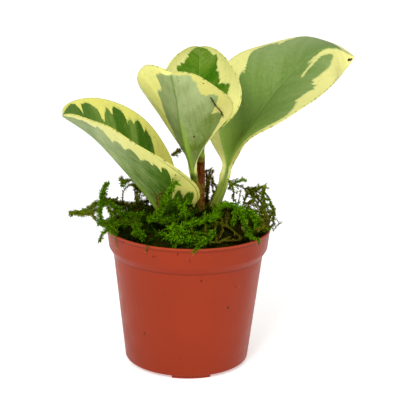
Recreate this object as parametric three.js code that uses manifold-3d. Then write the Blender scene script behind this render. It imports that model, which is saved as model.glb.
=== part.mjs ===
// A potted peperomia: four thick variegated leaves on a short red-brown stem, in a
// terracotta-coloured plastic nursery pot whose soil is dressed with loose moss.
// Millimetres, +Z up. The origin is the middle of the pot's foot, on the surface that it
// stands on. The plant is looked at from the -Y side, with +X to the right.

import * as THREE from 'three';
import { mergeVertices } from 'three/addons/utils/BufferGeometryUtils.js';
import Module from 'manifold-3d';

const wasm = await Module();
wasm.setup();

// Gaps between pieces that touch, and the least thickness of a blade
const GAP = 0.35;
const STRAND_LIFT = 0.3;
const BLADE_THICKNESS = 1.3;
const MARGIN_THICKNESS = 0.8;

// Pot: a standard 4 inch nursery pot, 102 mm across the rim
const RIM_RADIUS = 51;
const POT_HEIGHT = 87;
const LIP_HEIGHT = 1.4;
const LIP_PROUD = 0.35;
const BAND_FOOT_RADIUS = 49.4;
const BAND_FOOT_Z = 74.5;
const SHOULDER_RADIUS = 46.6;
const SHOULDER_Z = 69.9;
const BASE_RADIUS = 38.9;
const WALL = 1.2;
const FOOT_HEIGHT = 2;
const FOOT_COUNT = 3;
const FOOT_TURN = -84;
const FOOT_HALF_ANGLE = 18.5;
const FOOT_INSET = 1.5;
const FOOT_WIDTH = 4;
const FOOT_CURVE_STEPS = 6;
const PAD_RADIUS = 9;
const PAD_SIDES = 24;
const DRAIN_RADIUS = 4;
const DRAIN_SIDES = 16;
const DRAIN_PITCH_RADIUS = 28;
const POT_SEGMENTS = 48;
// Bevels at the foot of the wall and at the lip
const BASE_BEVEL_WIDTH = 0.5;
const BASE_BEVEL_HEIGHT = 0.6;
const LIP_BEVEL_LOW = 0.2;
const LIP_BEVEL_HIGH = 0.3;
const LIP_TOP_BEVEL = 0.4;
const INNER_BEVEL_WIDTH = 0.7;
const INNER_BEVEL_HEIGHT = 0.6;

// Soil and moss: heights above the surface the pot stands on
const SOIL_EDGE_Z = 81;
const SOIL_CROWN = 1.6;
const SOIL_BUMP = 0.5;
const MOSS_EDGE_RADIUS = 47.6;
const MOSS_FRONT_RETREAT = 3.2;
const MOSS_EDGE_Z = 84;
const MOSS_CROWN = 12.5;
const MOSS_BUMP = 1.3;
const GROUND_RINGS = 5;
const GROUND_SEGMENTS = 28;

// Stem: its middle line and radius, from its root end in the soil to the green top
const STEM_ROUTE = [
  [8.4, 0, 60, 2.1],
  [8.2, 0, 88, 2.5],
  [7.3, 0, 104, 2.5],
  [6.8, 0, 114.5, 2.9],
  [6.9, 0, 121, 2.5],
  [6.9, 0, 127.5, 2.5],
];
const STEM_SIDES = 12;
const STEM_STEPS = 12;

// Leaves. midrib runs from the blade's foot to its tip, facing is the way the upper face
// looks at the foot, middle and tip, and each half folds up from the midrib by fold degrees
// and bends on by curl degrees towards its margin, at four places from foot to tip.
// trim narrows a half round a place, as [place, spread, depth].
// stalk is the petiole from the stem to the blade, with its radius.
const NO_TRIM = [0.5, 1, 0];
const LEAVES = {
  leaf_left: {
    midrib: [[4, -3, 87.5], [-11, -8.5, 89], [-22, -16.5, 107.5], [-39, -21.5, 128.5],
      [-56.5, -23, 147], [-73.5, -29.5, 160.5]],
    facing: [[0.25, 0.15, 0.95], [0.55, 0.15, 0.8], [0.3, -0.3, 0.9]],
    width: 76.5,
    footPower: 0.61,
    tipPower: 0.48,
    sweep: 0.09,
    halves: [
      { side: -1, fold: [69, 44, 33, 41], curl: [11, 0, -4, 1] },
      { side: 1, fold: [59, 49, 40, 6], curl: [11, 6, 2, -15] },
    ],
    stalk: [[8.3, 0, 88.5, 2], [5.5, -2, 87.6, 2.1], [-2, -5, 87, 2]],
  },
  leaf_right: {
    midrib: [[22.2, 5.5, 118], [27, 20, 132], [41.5, 22.5, 153.5], [60.5, 25.5, 178],
      [82.5, 30.5, 195.5], [101.5, 31.5, 189.5]],
    facing: [[-0.1, -0.8, 0.7], [0.2, -0.6, 0.65], [-0.45, -0.6, 0.7]],
    width: 75,
    footPower: 1.05,
    tipPower: 0.74,
    sweep: -0.1,
    halves: [
      { side: -1, fold: [66, 20, -22, -38], curl: [9, 0, -4, 5] },
      { side: 1, fold: [58, 63, 22, -33], curl: [-3, 12, 7, 3], trim: [0.93, 0.12, 0.1] },
    ],
    stalk: [[8.4, 0, 90, 2.2], [14.5, 0, 96.5, 2.5], [18.2, 0.5, 104, 2.6],
      [20.9, 2.5, 111, 2.5], [22.3, 6.9, 116.4, 2.6], [24, 13, 123.5, 2.4]],
  },
  leaf_front: {
    midrib: [[2.5, -9, 125.5], [-1, -18.5, 139], [-5, -24, 156.5], [-7.5, -31, 172.5],
      [-10.5, -41, 188]],
    facing: [[0.15, 0.9, 0.4], [0.5, 0.8, 0.4], [0.15, 0.8, -0.6]],
    width: 64.5,
    footPower: 0.76,
    tipPower: 0.71,
    sweep: 0.35,
    halves: [
      { side: -1, fold: [63, 31, 6, -8], curl: [17, 10, 8, 10] },
      { side: 1, fold: [61, 25, 10, 28], curl: [22, 11, 7, 20] },
    ],
    stalk: [[6.6, 0, 108, 2], [5.3, -1.5, 111.5, 2.1], [3.5, -3.5, 115.5, 2.3],
      [2.8, -5.8, 119.8, 2.4], [2.3, -10.3, 124.6, 2.4], [1.5, -13.5, 129.5, 2.2]],
  },
  leaf_back: {
    midrib: [[5.9, 1.5, 130], [7.5, 10, 144.5], [7.5, 14.5, 160.5], [5, 18.5, 178],
      [4.5, 25.5, 194.5]],
    facing: [[-0.45, -0.9, 0.2], [0.05, -1, 0.15], [-0.05, -0.95, 0.3]],
    width: 60,
    footPower: 1.14,
    tipPower: 0.64,
    sweep: -0.02,
    halves: [
      { side: -1, fold: [3, 7, 23, 43], curl: [8, 13, 25, 38] },
      { side: 1, fold: [44, 27, 31, 36], curl: [26, 22, 28, 35] },
    ],
    stalk: [[6.9, 0, 127, 2.4], [6.9, 2.6, 129.6, 2.4], [7.2, 7, 136.5, 2.2]],
  },
};

// The midrib stands out under the blade along this share of it, and thins to this radius
const RIB_SHARE = 0.7;
const RIB_START = 0.16;
const RIB_END_RADIUS = 0.6;
const RIB_STEPS = 4;
// How far the rib's middle line lies under the upper skin, as a share of the thickness
const RIB_DEPTH = 0.6;
// The first and the last section of a blade, which keep a little off its two ends
const FIRST_SECTION = 0.0015;
const LAST_SECTION = 0.9985;
// A blade's thickness shrinks to this share where it has no width, and grows by this per mm
const THIN_SHARE = 0.6;
const THIN_GROWTH = 0.05;
// The blade's direction at a place is taken over this share of the midrib on each side
const REACH = 0.2;
const BLADE_STATIONS = 17;
const HALF_CELLS = 4;
const STALK_SIDES = 8;
const STALK_STEPS_PER_POINT = 1.5;
const BEND_STEPS = 4;

// Loose moss strands: points with a radius, the first one sunk in the mound
const STRANDS = {
  left_spike: [[-40, -10, 88, 3], [-51, -12, 92.5, 3], [-61, -12, 98, 2.6],
    [-67, -12, 97.5, 1.6], [-73, -12, 96.5, 0.6]],
  left_upright: [[-47, -13, 91, 2], [-52, -14, 99, 2], [-51, -14, 108, 1.7],
    [-50, -14, 116, 0.8]],
  left_outer: [[-50, -14, 107, 1.2], [-53.5, -15, 99, 1.6], [-53.5, -16, 92, 1.6],
    [-47, -16, 87.5, 1.5]],
  left_ridge: [[-53, -12, 104, 1.6], [-44, -2, 100, 2], [-34, 8, 97.5, 2.4], [-26, 14, 94, 2.4]],
  left_hanging: [[-42, -17, 87.5, 1.5], [-48.5, -21, 90, 1.3], [-51.5, -23, 86, 1.1],
    [-52.5, -24, 82.5, 0.6]],
  left_loop: [[-41, -5, 96, 0.8], [-40, -5, 108, 0.6], [-37, -4, 112, 0.6], [-33.5, 2, 111, 0.7],
    [-29, 9, 100, 0.9], [-28, 10, 92, 0.9]],
  back_tuft: [[-27, 14, 91, 2.4], [-31, 9, 101, 2.2], [-34, 8, 109, 0.9]],
  climbing_spray: [[-18, -30, 90, 2.4], [-19, -35, 100, 2.2], [-14.5, -39, 110, 1.8],
    [-9, -42, 118, 0.8]],
  front_spray: [[-8, -34, 88, 3], [-8, -42, 95, 3], [-9, -46, 91, 2.4], [-7, -46.5, 88.5, 1]],
  front_arch: [[-6, -36, 91, 2.4], [2, -36, 97, 2.2], [10, -30, 99, 2.2], [19, -18, 101, 2.2],
    [28, -12, 100, 2.2], [34, -12, 93, 2.2]],
  front_hanging: [[12, -38, 87, 2], [9.5, -46, 91.5, 1.8], [6, -52.5, 88.5, 1.5],
    [4, -54, 84, 0.8]],
  right_feather: [[24, -30, 88, 2.6], [32, -36, 92, 2.4], [38, -40.5, 89.5, 1.6],
    [42, -42, 90, 0.7]],
  right_web_low: [[22, 5, 91, 1.6], [25, 7, 103, 1.2], [27, 8, 111, 1.1], [24, 8, 114.5, 0.6]],
  right_web_top: [[26, 6, 103, 1.1], [32, 8, 109, 1.2], [39, 8, 109, 1.3], [46.5, 5, 112, 1.2],
    [52, 2, 103, 1.3], [53.5, -3, 95, 1.3], [46, -8, 88, 1.4]],
  right_web_mid: [[30, 4, 92, 1.4], [37, 5, 103, 1.2], [45, 3, 104, 1.2], [50, 0, 96, 1.3],
    [44, -4, 89, 1.3]],
  right_web_cross: [[34, 12, 91, 1.3], [40, 10, 101, 1.1], [45, 7, 109, 1.1],
    [48, 12, 100, 1.2], [43, 14, 89, 1.3]],
  stem_tuft: [[16, 12, 91, 1.6], [13.5, 10, 106, 1.4], [12.5, 8.5, 116, 1.3],
    [12.5, 8, 122.5, 0.7]],
  stem_tuft_fall: [[12.5, 8, 121, 0.8], [14.5, 7, 116, 0.9], [18, 9, 109, 0.8],
    [22, 11, 99, 1], [24, 12, 91, 1.2]],
};
// Sprigs that stand round the back of the mound, where nothing above stands
const BACK_SPRIGS = 9;
const BACK_FROM = 20;
const BACK_TO = 165;
const SPRIG_REACH = 47;
const SPRIG_RADIUS = 1.5;
const SPRIG_FOOT_Z = 87;
const SPRIG_BEND_Z = 91;
const SPRIG_FOOT_SHARE = 0.68;
const SPRIG_LEAN = 6.5;
const SPRIG_RISE = 8.5;
const SPRIG_DRIFT = 0.06;
const STRAND_SIDES = 5;
const LEAST_RADIUS = 0.45;
const STEPS_PER_SPAN = 2;

// Colours
const TERRACOTTA = 0xa8422a;
const SOIL_BROWN = 0x2c1f15;
const MOSS_GREEN = 0x3f6a1d;
const STEM_RED = 0x7a4034;
const LEAF_GREEN = 0x7d9a4f;

// Every random draw comes from one seeded generator
let seed = 7;
function draw() {
  seed = (seed * 16807) % 2147483647;
  return seed / 2147483647;
}

// A draw from -size to size
const uneven = (size) => size * (2 * draw() - 1);

const radians = (degrees) => THREE.MathUtils.degToRad(degrees);
const point = ([x, y, z]) => new THREE.Vector3(x, y, z);

function route(points) {
  return new THREE.CatmullRomCurve3(points.map(point), false, 'catmullrom', 0.5);
}

// Solids

function solidOf(geometry) {
  const bare = geometry.clone();
  bare.deleteAttribute('normal');
  bare.deleteAttribute('uv');
  const merged = mergeVertices(bare);
  const mesh = new wasm.Mesh({
    numProp: 3,
    vertProperties: new Float32Array(merged.attributes.position.array),
    triVerts: new Uint32Array(merged.index.array),
  });
  return new wasm.Manifold(mesh);
}

function geometryOf(solid) {
  const mesh = solid.getMesh();
  const geometry = new THREE.BufferGeometry();
  geometry.setAttribute('position', new THREE.BufferAttribute(mesh.vertProperties, 3));
  geometry.setIndex(new THREE.BufferAttribute(mesh.triVerts, 1));
  geometry.computeVertexNormals();
  return geometry;
}

function joined(solids) {
  return solids.reduce((all, solid) => all.add(solid));
}

// The largest body of a solid, without the scraps that a cut leaves
function largest(solid) {
  const bodies = solid.decompose();
  return bodies.reduce((best, body) => (body.volume() > best.volume() ? body : best));
}

// A closed skin through rings of points that all have the same count, with a fan at each end
function loft(rings) {
  const count = rings[0].length;
  const positions = rings.flat().flatMap((p) => [p.x, p.y, p.z]);
  const faces = [];
  for (let i = 0; i + 1 < rings.length; i += 1) {
    for (let j = 0; j < count; j += 1) {
      const a = i * count + j;
      const b = i * count + ((j + 1) % count);
      faces.push(a, b, b + count, a, b + count, a + count);
    }
  }
  [rings[0], rings[rings.length - 1]].forEach((ring, end) => {
    const middle = new THREE.Vector3();
    ring.forEach((p) => middle.addScaledVector(p, 1 / count));
    const centre = positions.length / 3;
    positions.push(middle.x, middle.y, middle.z);
    const first = end * (rings.length - 1) * count;
    for (let j = 0; j < count; j += 1) {
      const here = first + j;
      const next = first + ((j + 1) % count);
      if (end === 0) faces.push(centre, next, here);
      else faces.push(centre, here, next);
    }
  });
  const geometry = new THREE.BufferGeometry();
  geometry.setAttribute('position', new THREE.Float32BufferAttribute(positions, 3));
  geometry.setIndex(faces);
  return geometry;
}

// A round strand along points [x, y, z, radius], widened everywhere by extra
function strand(points, sides, steps, extra = 0) {
  const line = route(points);
  const radii = new THREE.CatmullRomCurve3(
    points.map(([, , , radius]) => new THREE.Vector3(radius, 0, 0)), false, 'catmullrom', 0.5);
  const frames = line.computeFrenetFrames(steps, false);
  const rings = [];
  for (let i = 0; i <= steps; i += 1) {
    const along = i / steps;
    const centre = line.getPointAt(along);
    const radius = Math.max(LEAST_RADIUS, radii.getPoint(line.getUtoTmapping(along)).x) + extra;
    const ring = [];
    for (let j = 0; j < sides; j += 1) {
      const turn = (2 * Math.PI * j) / sides;
      ring.push(centre.clone()
        .addScaledVector(frames.normals[i], radius * Math.cos(turn))
        .addScaledVector(frames.binormals[i], radius * Math.sin(turn)));
    }
    rings.push(ring);
  }
  return loft(rings);
}

// Pot

function potShell() {
  const lipFoot = POT_HEIGHT - LIP_HEIGHT;
  const band = RIM_RADIUS - LIP_PROUD;
  const floor = FOOT_HEIGHT + WALL;
  const outline = [
    [0, FOOT_HEIGHT],
    [BASE_RADIUS - BASE_BEVEL_WIDTH, FOOT_HEIGHT],
    [BASE_RADIUS, FOOT_HEIGHT + BASE_BEVEL_HEIGHT],
    [SHOULDER_RADIUS, SHOULDER_Z],
    [BAND_FOOT_RADIUS, BAND_FOOT_Z],
    [band, lipFoot - LIP_BEVEL_LOW],
    [RIM_RADIUS, lipFoot + LIP_BEVEL_HIGH],
    [RIM_RADIUS, POT_HEIGHT - LIP_TOP_BEVEL],
    [band, POT_HEIGHT],
    [band - INNER_BEVEL_WIDTH, POT_HEIGHT],
    [band - WALL, POT_HEIGHT - INNER_BEVEL_HEIGHT],
    [BAND_FOOT_RADIUS - WALL, BAND_FOOT_Z],
    [SHOULDER_RADIUS - WALL, SHOULDER_Z],
    [BASE_RADIUS - WALL, floor],
    [0, floor],
  ];
  return new THREE.LatheGeometry(outline.map(([r, z]) => new THREE.Vector2(r, z)), POT_SEGMENTS)
    .rotateX(Math.PI / 2);
}

// The space that the rim keeps for itself, with the gap round it
function rimSpace() {
  const inner = RIM_RADIUS - LIP_PROUD - WALL - GAP;
  const outer = RIM_RADIUS + GAP;
  const outline = [[SHOULDER_RADIUS, SHOULDER_Z], [outer, SHOULDER_Z], [outer, POT_HEIGHT + GAP],
    [inner, POT_HEIGHT + GAP], [inner, BAND_FOOT_Z], [SHOULDER_RADIUS, SHOULDER_Z]];
  return new THREE.LatheGeometry(outline.map(([r, z]) => new THREE.Vector2(r, z)), POT_SEGMENTS)
    .rotateX(Math.PI / 2);
}

function potFoot(turn) {
  const outer = BASE_RADIUS - FOOT_INSET;
  const inner = outer - FOOT_WIDTH;
  const from = radians(turn - FOOT_HALF_ANGLE);
  const to = radians(turn + FOOT_HALF_ANGLE);
  const arc = new THREE.Shape();
  arc.absarc(0, 0, outer, from, to, false);
  arc.absarc(0, 0, inner, to, from, true);
  arc.closePath();
  return new THREE.ExtrudeGeometry(arc, {
    depth: FOOT_HEIGHT + WALL / 2, bevelEnabled: false, curveSegments: FOOT_CURVE_STEPS,
  });
}

function upright(radius, low, high, x, y, sides) {
  return new THREE.CylinderGeometry(radius, radius, high - low, sides)
    .rotateX(Math.PI / 2)
    .translate(x, y, (low + high) / 2);
}

function potSolid() {
  const pitch = 360 / FOOT_COUNT;
  let solid = solidOf(potShell());
  for (let i = 0; i < FOOT_COUNT; i += 1) {
    solid = solid.add(solidOf(potFoot(FOOT_TURN + i * pitch)));
  }
  const padTop = FOOT_HEIGHT + WALL / 2;
  solid = solid.add(solidOf(upright(PAD_RADIUS, 0, padTop, 0, 0, PAD_SIDES)));
  for (let i = 0; i < FOOT_COUNT; i += 1) {
    const turn = radians(FOOT_TURN + (i + 0.5) * pitch);
    const x = DRAIN_PITCH_RADIUS * Math.cos(turn);
    const y = DRAIN_PITCH_RADIUS * Math.sin(turn);
    const low = FOOT_HEIGHT - WALL;
    const top = FOOT_HEIGHT + 2 * WALL;
    solid = solid.subtract(solidOf(upright(DRAIN_RADIUS, low, top, x, y, DRAIN_SIDES)));
  }
  return solid;
}

// Soil and moss share the rings of points of the surface between them

function ripple(x, y, pitch, phase) {
  const u = (2 * Math.PI * x) / pitch;
  const v = (2 * Math.PI * y) / pitch;
  return Math.sin(u + phase) * Math.cos(v - 1.7 * phase) + 0.5 * Math.sin(1.9 * u - 2.3 * v + phase);
}

function mossEdge(turn) {
  const front = Math.max(0, -Math.sin(turn));
  return MOSS_EDGE_RADIUS - MOSS_FRONT_RETREAT * front * front;
}

function soilTop(x, y) {
  const share = Math.hypot(x, y) / MOSS_EDGE_RADIUS;
  return SOIL_EDGE_Z + SOIL_CROWN * (1 - share * share) + SOIL_BUMP * ripple(x, y, 23, 0.4);
}

function mossTop(x, y, share) {
  const dome = 1 - share ** 3;
  return MOSS_EDGE_Z + MOSS_CROWN * dome + MOSS_BUMP * dome * ripple(x, y, 31, 1.1);
}

// A closed body of revolution whose layers give a point for each ring and turn
function layered(layers) {
  const positions = [];
  const faces = [];
  layers.forEach((at) => {
    for (let j = 0; j < GROUND_SEGMENTS; j += 1) {
      const p = at((2 * Math.PI * j) / GROUND_SEGMENTS);
      positions.push(p.x, p.y, p.z);
    }
  });
  for (let i = 0; i + 1 < layers.length; i += 1) {
    for (let j = 0; j < GROUND_SEGMENTS; j += 1) {
      const a = i * GROUND_SEGMENTS + j;
      const b = i * GROUND_SEGMENTS + ((j + 1) % GROUND_SEGMENTS);
      faces.push(a, b, b + GROUND_SEGMENTS, a, b + GROUND_SEGMENTS, a + GROUND_SEGMENTS);
    }
  }
  [0, layers.length - 1].forEach((layer, end) => {
    const centre = positions.length / 3;
    const p = layers[layer](0);
    const middle = layers[layer].middle;
    positions.push(0, 0, middle === undefined ? p.z : middle);
    for (let j = 0; j < GROUND_SEGMENTS; j += 1) {
      const a = layer * GROUND_SEGMENTS + j;
      const b = layer * GROUND_SEGMENTS + ((j + 1) % GROUND_SEGMENTS);
      if (end === 0) faces.push(centre, b, a);
      else faces.push(centre, a, b);
    }
  });
  const geometry = new THREE.BufferGeometry();
  geometry.setAttribute('position', new THREE.Float32BufferAttribute(positions, 3));
  geometry.setIndex(faces);
  return geometry;
}

// One ring of a ground surface, at a share of the moss edge and a height rule
function groundRing(share, height) {
  return (turn) => {
    const radius = share * mossEdge(turn);
    const x = radius * Math.cos(turn);
    const y = radius * Math.sin(turn);
    return new THREE.Vector3(x, y, height(x, y, share));
  };
}

function levelRing(radius, z) {
  return (turn) => new THREE.Vector3(radius * Math.cos(turn), radius * Math.sin(turn), z);
}

// The pot's inner radius at a height, less the gap
function potBore(z) {
  const inner = [[FOOT_HEIGHT + WALL, BASE_RADIUS], [SHOULDER_Z, SHOULDER_RADIUS],
    [BAND_FOOT_Z, BAND_FOOT_RADIUS], [POT_HEIGHT, RIM_RADIUS - LIP_PROUD]];
  const upper = inner.findIndex(([height]) => height >= z);
  const [z0, r0] = inner[Math.max(0, upper - 1)];
  const [z1, r1] = inner[upper];
  const share = z1 > z0 ? (z - z0) / (z1 - z0) : 0;
  const facetLoss = 1 / Math.cos(Math.PI / POT_SEGMENTS);
  return (r0 + (r1 - r0) * share - WALL) / facetLoss - GAP;
}

function soilSolid(lift = 0) {
  const low = FOOT_HEIGHT + WALL + GAP;
  const heights = [low, SHOULDER_Z + GAP, BAND_FOOT_Z + GAP, SOIL_EDGE_Z];
  const layers = heights.map((z) => levelRing(potBore(z), z));
  for (let i = GROUND_RINGS; i >= 1; i -= 1) {
    layers.push(groundRing(i / GROUND_RINGS, soilTop));
  }
  layers[layers.length - 1].middle = soilTop(0, 0);
  return solidOf(layered(layers).translate(0, 0, lift));
}

function mossMound() {
  const overSoil = (x, y) => soilTop(x, y) + GAP;
  const layers = [];
  for (let i = 1; i <= GROUND_RINGS; i += 1) layers.push(groundRing(i / GROUND_RINGS, overSoil));
  for (let i = GROUND_RINGS; i >= 1; i -= 1) layers.push(groundRing(i / GROUND_RINGS, mossTop));
  layers[0].middle = overSoil(0, 0);
  layers[layers.length - 1].middle = mossTop(0, 0, 0);
  return solidOf(layered(layers));
}

// A sprig at the back of the mound: it rises from the moss and nods outwards
function backSprig(i) {
  const spread = (BACK_TO - BACK_FROM) / (BACK_SPRIGS - 1);
  const turn = radians(BACK_FROM + (i + uneven(0.22)) * spread);
  const foot = SPRIG_FOOT_SHARE * SPRIG_REACH * (1 + uneven(0.09));
  const lean = SPRIG_LEAN * (1 + uneven(0.38));
  const rise = SPRIG_RISE * (1 + uneven(0.41));
  const around = uneven(SPRIG_DRIFT);
  const at = (radius, z, shift, size) => [
    radius * Math.cos(turn + shift), radius * Math.sin(turn + shift), z, size * SPRIG_RADIUS];
  return [
    at(foot, SPRIG_FOOT_Z, 0, 1.4),
    at(foot + 0.4 * lean, SPRIG_BEND_Z + 0.6 * rise, around, 1),
    at(foot + lean, SPRIG_BEND_Z + rise, 2 * around, 0.7),
    at(foot + 1.7 * lean, SPRIG_BEND_Z + 0.8 * rise, 3 * around, 0.3),
  ];
}

function mossStrands() {
  const routes = Object.values(STRANDS);
  for (let i = 0; i < BACK_SPRIGS; i += 1) routes.push(backSprig(i));
  return routes.map((points) => {
    const steps = STEPS_PER_SPAN * (points.length - 1);
    return solidOf(strand(points, STRAND_SIDES, steps));
  });
}

// Leaves

// The middle line, section directions and half width of a leaf at a share along its midrib
function leafFrame(leaf, share) {
  const midrib = route(leaf.midrib);
  const ahead = midrib.getPoint(Math.min(1, share + REACH));
  const behind = midrib.getPoint(Math.max(0, share - REACH));
  const along = ahead.sub(behind).normalize();
  const up = route(leaf.facing).getPoint(share);
  up.addScaledVector(along, -up.dot(along)).normalize();
  const across = new THREE.Vector3().crossVectors(along, up);
  const widest = leaf.footPower / (leaf.footPower + leaf.tipPower);
  const rise = (share / widest) ** leaf.footPower;
  const fall = ((1 - share) / (1 - widest)) ** leaf.tipPower;
  return { middle: midrib.getPoint(share), along, up, across, half: (leaf.width / 2) * rise * fall };
}

// Points and upward normals of one half, from the midrib out to the margin
function halfSection(leaf, frame, share, half, cells) {
  const [centre, spread, depth] = half.trim ?? NO_TRIM;
  const trimmed = 1 - depth * Math.exp(-(((share - centre) / spread) ** 2));
  const width = frame.half * trimmed;
  const angles = route(half.fold.map((fold, i) => [fold, half.curl[i], 0])).getPoint(share);
  const fold = radians(angles.x);
  const curl = radians(angles.y);
  const place = frame.middle.clone();
  const section = [];
  for (let j = 1; j <= cells; j += 1) {
    for (let i = 0; i < BEND_STEPS; i += 1) {
      const out = (j - 1 + (i + 0.5) / BEND_STEPS) / cells;
      const angle = fold + curl * out;
      const step = width / (cells * BEND_STEPS);
      place.addScaledVector(frame.across, half.side * Math.cos(angle) * step);
      place.addScaledVector(frame.up, Math.sin(angle) * step);
    }
    const out = j / cells;
    const angle = fold + curl * out;
    const swept = place.clone().addScaledVector(frame.along, leaf.sweep * width * out * out);
    const normal = frame.up.clone().multiplyScalar(Math.cos(angle))
      .addScaledVector(frame.across, -half.side * Math.sin(angle));
    section.push({ place: swept, normal, out });
  }
  return section;
}

// The whole section from the margin of one side to the margin of the other
function leafSection(leaf, share) {
  const frame = leafFrame(leaf, share);
  const [near, far] = leaf.halves;
  const left = halfSection(leaf, frame, share, near, HALF_CELLS).reverse();
  const right = halfSection(leaf, frame, share, far, HALF_CELLS);
  return [...left, { place: frame.middle, normal: frame.up, out: 0 }, ...right];
}

// A blade: its upper skin is the leaf's surface, raised by extra, and its lower skin lies
// under it, both split into triangles alike
function bladeSolid(leaf, extra = 0) {
  const upper = [];
  const lower = [];
  for (let i = 0; i <= BLADE_STATIONS; i += 1) {
    const even = i / BLADE_STATIONS;
    const eased = 0.5 - 0.5 * Math.cos(Math.PI * even);
    const share = FIRST_SECTION + (LAST_SECTION - FIRST_SECTION) * eased;
    const section = leafSection(leaf, share);
    const width = leafFrame(leaf, share).half;
    const taper = Math.min(1, THIN_SHARE + THIN_GROWTH * width);
    upper.push(section.map(({ place, normal, out }) => {
      const widened = place.clone();
      if (extra > 0 && out === 1) widened.addScaledVector(place.clone()
        .sub(leafFrame(leaf, share).middle).normalize(), extra);
      return widened.addScaledVector(normal, extra);
    }));
    lower.push(section.map(({ normal, out }, j) => {
      const depth = MARGIN_THICKNESS + (BLADE_THICKNESS - MARGIN_THICKNESS) * (1 - out * out);
      return upper[i][j].clone().addScaledVector(normal, -depth * taper - 2 * extra);
    }));
  }
  const across = upper[0].length;
  const positions = [...upper.flat(), ...lower.flat()].flatMap((p) => [p.x, p.y, p.z]);
  const under = upper.length * across;
  const faces = [];
  for (let i = 0; i + 1 < upper.length; i += 1) {
    for (let j = 0; j + 1 < across; j += 1) {
      const a = i * across + j;
      const b = a + 1;
      const c = b + across;
      const d = a + across;
      faces.push(a, b, c, a, c, d);
      faces.push(under + a, under + c, under + b, under + a, under + d, under + c);
    }
    const first = i * across;
    const last = first + across - 1;
    faces.push(first, first + across, under + first + across);
    faces.push(first, under + first + across, under + first);
    faces.push(last, under + last, under + last + across);
    faces.push(last, under + last + across, last + across);
  }
  const tip = (upper.length - 1) * across;
  for (let j = 0; j + 1 < across; j += 1) {
    faces.push(j, under + j, under + j + 1, j, under + j + 1, j + 1);
    faces.push(tip + j, tip + j + 1, under + tip + j + 1, tip + j, under + tip + j + 1, under + tip + j);
  }
  const geometry = new THREE.BufferGeometry();
  geometry.setAttribute('position', new THREE.Float32BufferAttribute(positions, 3));
  geometry.setIndex(faces);
  return solidOf(geometry);
}

// The petiole, which runs on under the blade as its midrib
function stalkSolid(leaf, extra = 0) {
  const points = leaf.stalk.map((entry) => [...entry]);
  const endRadius = points[points.length - 1][3];
  for (let i = 0; i <= RIB_STEPS; i += 1) {
    const share = RIB_START + ((RIB_SHARE - RIB_START) * i) / RIB_STEPS;
    const frame = leafFrame(leaf, share);
    const radius = endRadius + ((RIB_END_RADIUS - endRadius) * (i + 1)) / (RIB_STEPS + 1);
    const centre = frame.middle.clone().addScaledVector(frame.up, -BLADE_THICKNESS * RIB_DEPTH);
    points.push([centre.x, centre.y, centre.z, radius]);
  }
  return solidOf(strand(points, STALK_SIDES, Math.round(STALK_STEPS_PER_POINT * points.length), extra));
}

function leafSolid(leaf, extra = 0) {
  return bladeSolid(leaf, extra).add(stalkSolid(leaf, extra));
}

function stemSolid(extra = 0) {
  return solidOf(strand(STEM_ROUTE, STEM_SIDES, STEM_STEPS, extra));
}

// Assembly

const plant = new THREE.Group();

function add(name, solid, color, roughness) {
  const material = new THREE.MeshStandardMaterial({ color, roughness, metalness: 0 });
  const mesh = new THREE.Mesh(geometryOf(solid), material);
  mesh.name = name;
  plant.add(mesh);
}

const clearStem = stemSolid(GAP);

add('pot', potSolid(), TERRACOTTA, 0.45);
add('soil', largest(soilSolid().subtract(clearStem)), SOIL_BROWN, 0.95);

const clearLeaves = [LEAVES.leaf_left, LEAVES.leaf_right].map((leaf) => leafSolid(leaf, GAP));
const moss = joined([mossMound(), ...mossStrands()])
  .subtract(clearStem)
  .subtract(clearLeaves[0])
  .subtract(clearLeaves[1])
  .subtract(soilSolid(STRAND_LIFT))
  .subtract(solidOf(rimSpace()));
add('moss', largest(moss), MOSS_GREEN, 0.95);

add('main_stem', stemSolid(), STEM_RED, 0.6);
Object.entries(LEAVES).forEach(([name, leaf]) => {
  add(name, largest(leafSolid(leaf).subtract(clearStem)), LEAF_GREEN, 0.4);
});

export default plant;
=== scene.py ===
# The looks of a potted variegated peperomia: four thick leaves on a short red-brown stem,
# in a plastic nursery pot whose soil is dressed with loose moss.
# Sizes and places are in millimetres in the frame's own axes, and become metres in pile_mesh.

import math

import bpy
import numpy as np
from mathutils import Matrix, Vector


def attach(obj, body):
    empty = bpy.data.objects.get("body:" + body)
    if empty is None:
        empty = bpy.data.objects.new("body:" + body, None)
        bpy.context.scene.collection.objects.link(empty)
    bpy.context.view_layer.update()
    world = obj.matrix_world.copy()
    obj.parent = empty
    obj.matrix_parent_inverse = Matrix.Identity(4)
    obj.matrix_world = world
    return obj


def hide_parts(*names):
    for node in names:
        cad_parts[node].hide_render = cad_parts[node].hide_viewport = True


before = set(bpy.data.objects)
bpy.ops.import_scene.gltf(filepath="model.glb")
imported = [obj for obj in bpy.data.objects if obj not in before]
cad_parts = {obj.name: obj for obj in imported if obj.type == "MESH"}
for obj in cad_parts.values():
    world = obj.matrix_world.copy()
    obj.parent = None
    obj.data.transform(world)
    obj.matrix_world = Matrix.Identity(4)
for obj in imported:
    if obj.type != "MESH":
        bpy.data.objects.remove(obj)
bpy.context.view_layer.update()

MM = 0.001
SEEDS = {"soil_lumps": 3, "mat_lumps": 5, "crumbs": 11, "mat": 21, "tangle": 41, "leaf_twig": 51,
         "buds": 61}

# Camera: the photograph's own view, worked out from the pot's outline and the leaf tips
IMAGE_SIDE = 416
FOCAL_PIXELS = 1133.0
SENSOR = 36.0
CAMERA_PLACE = (11.8, -677.0, 283.0)
CAMERA_PITCH = 15.27
CAMERA_ROLL = 1.25

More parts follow.
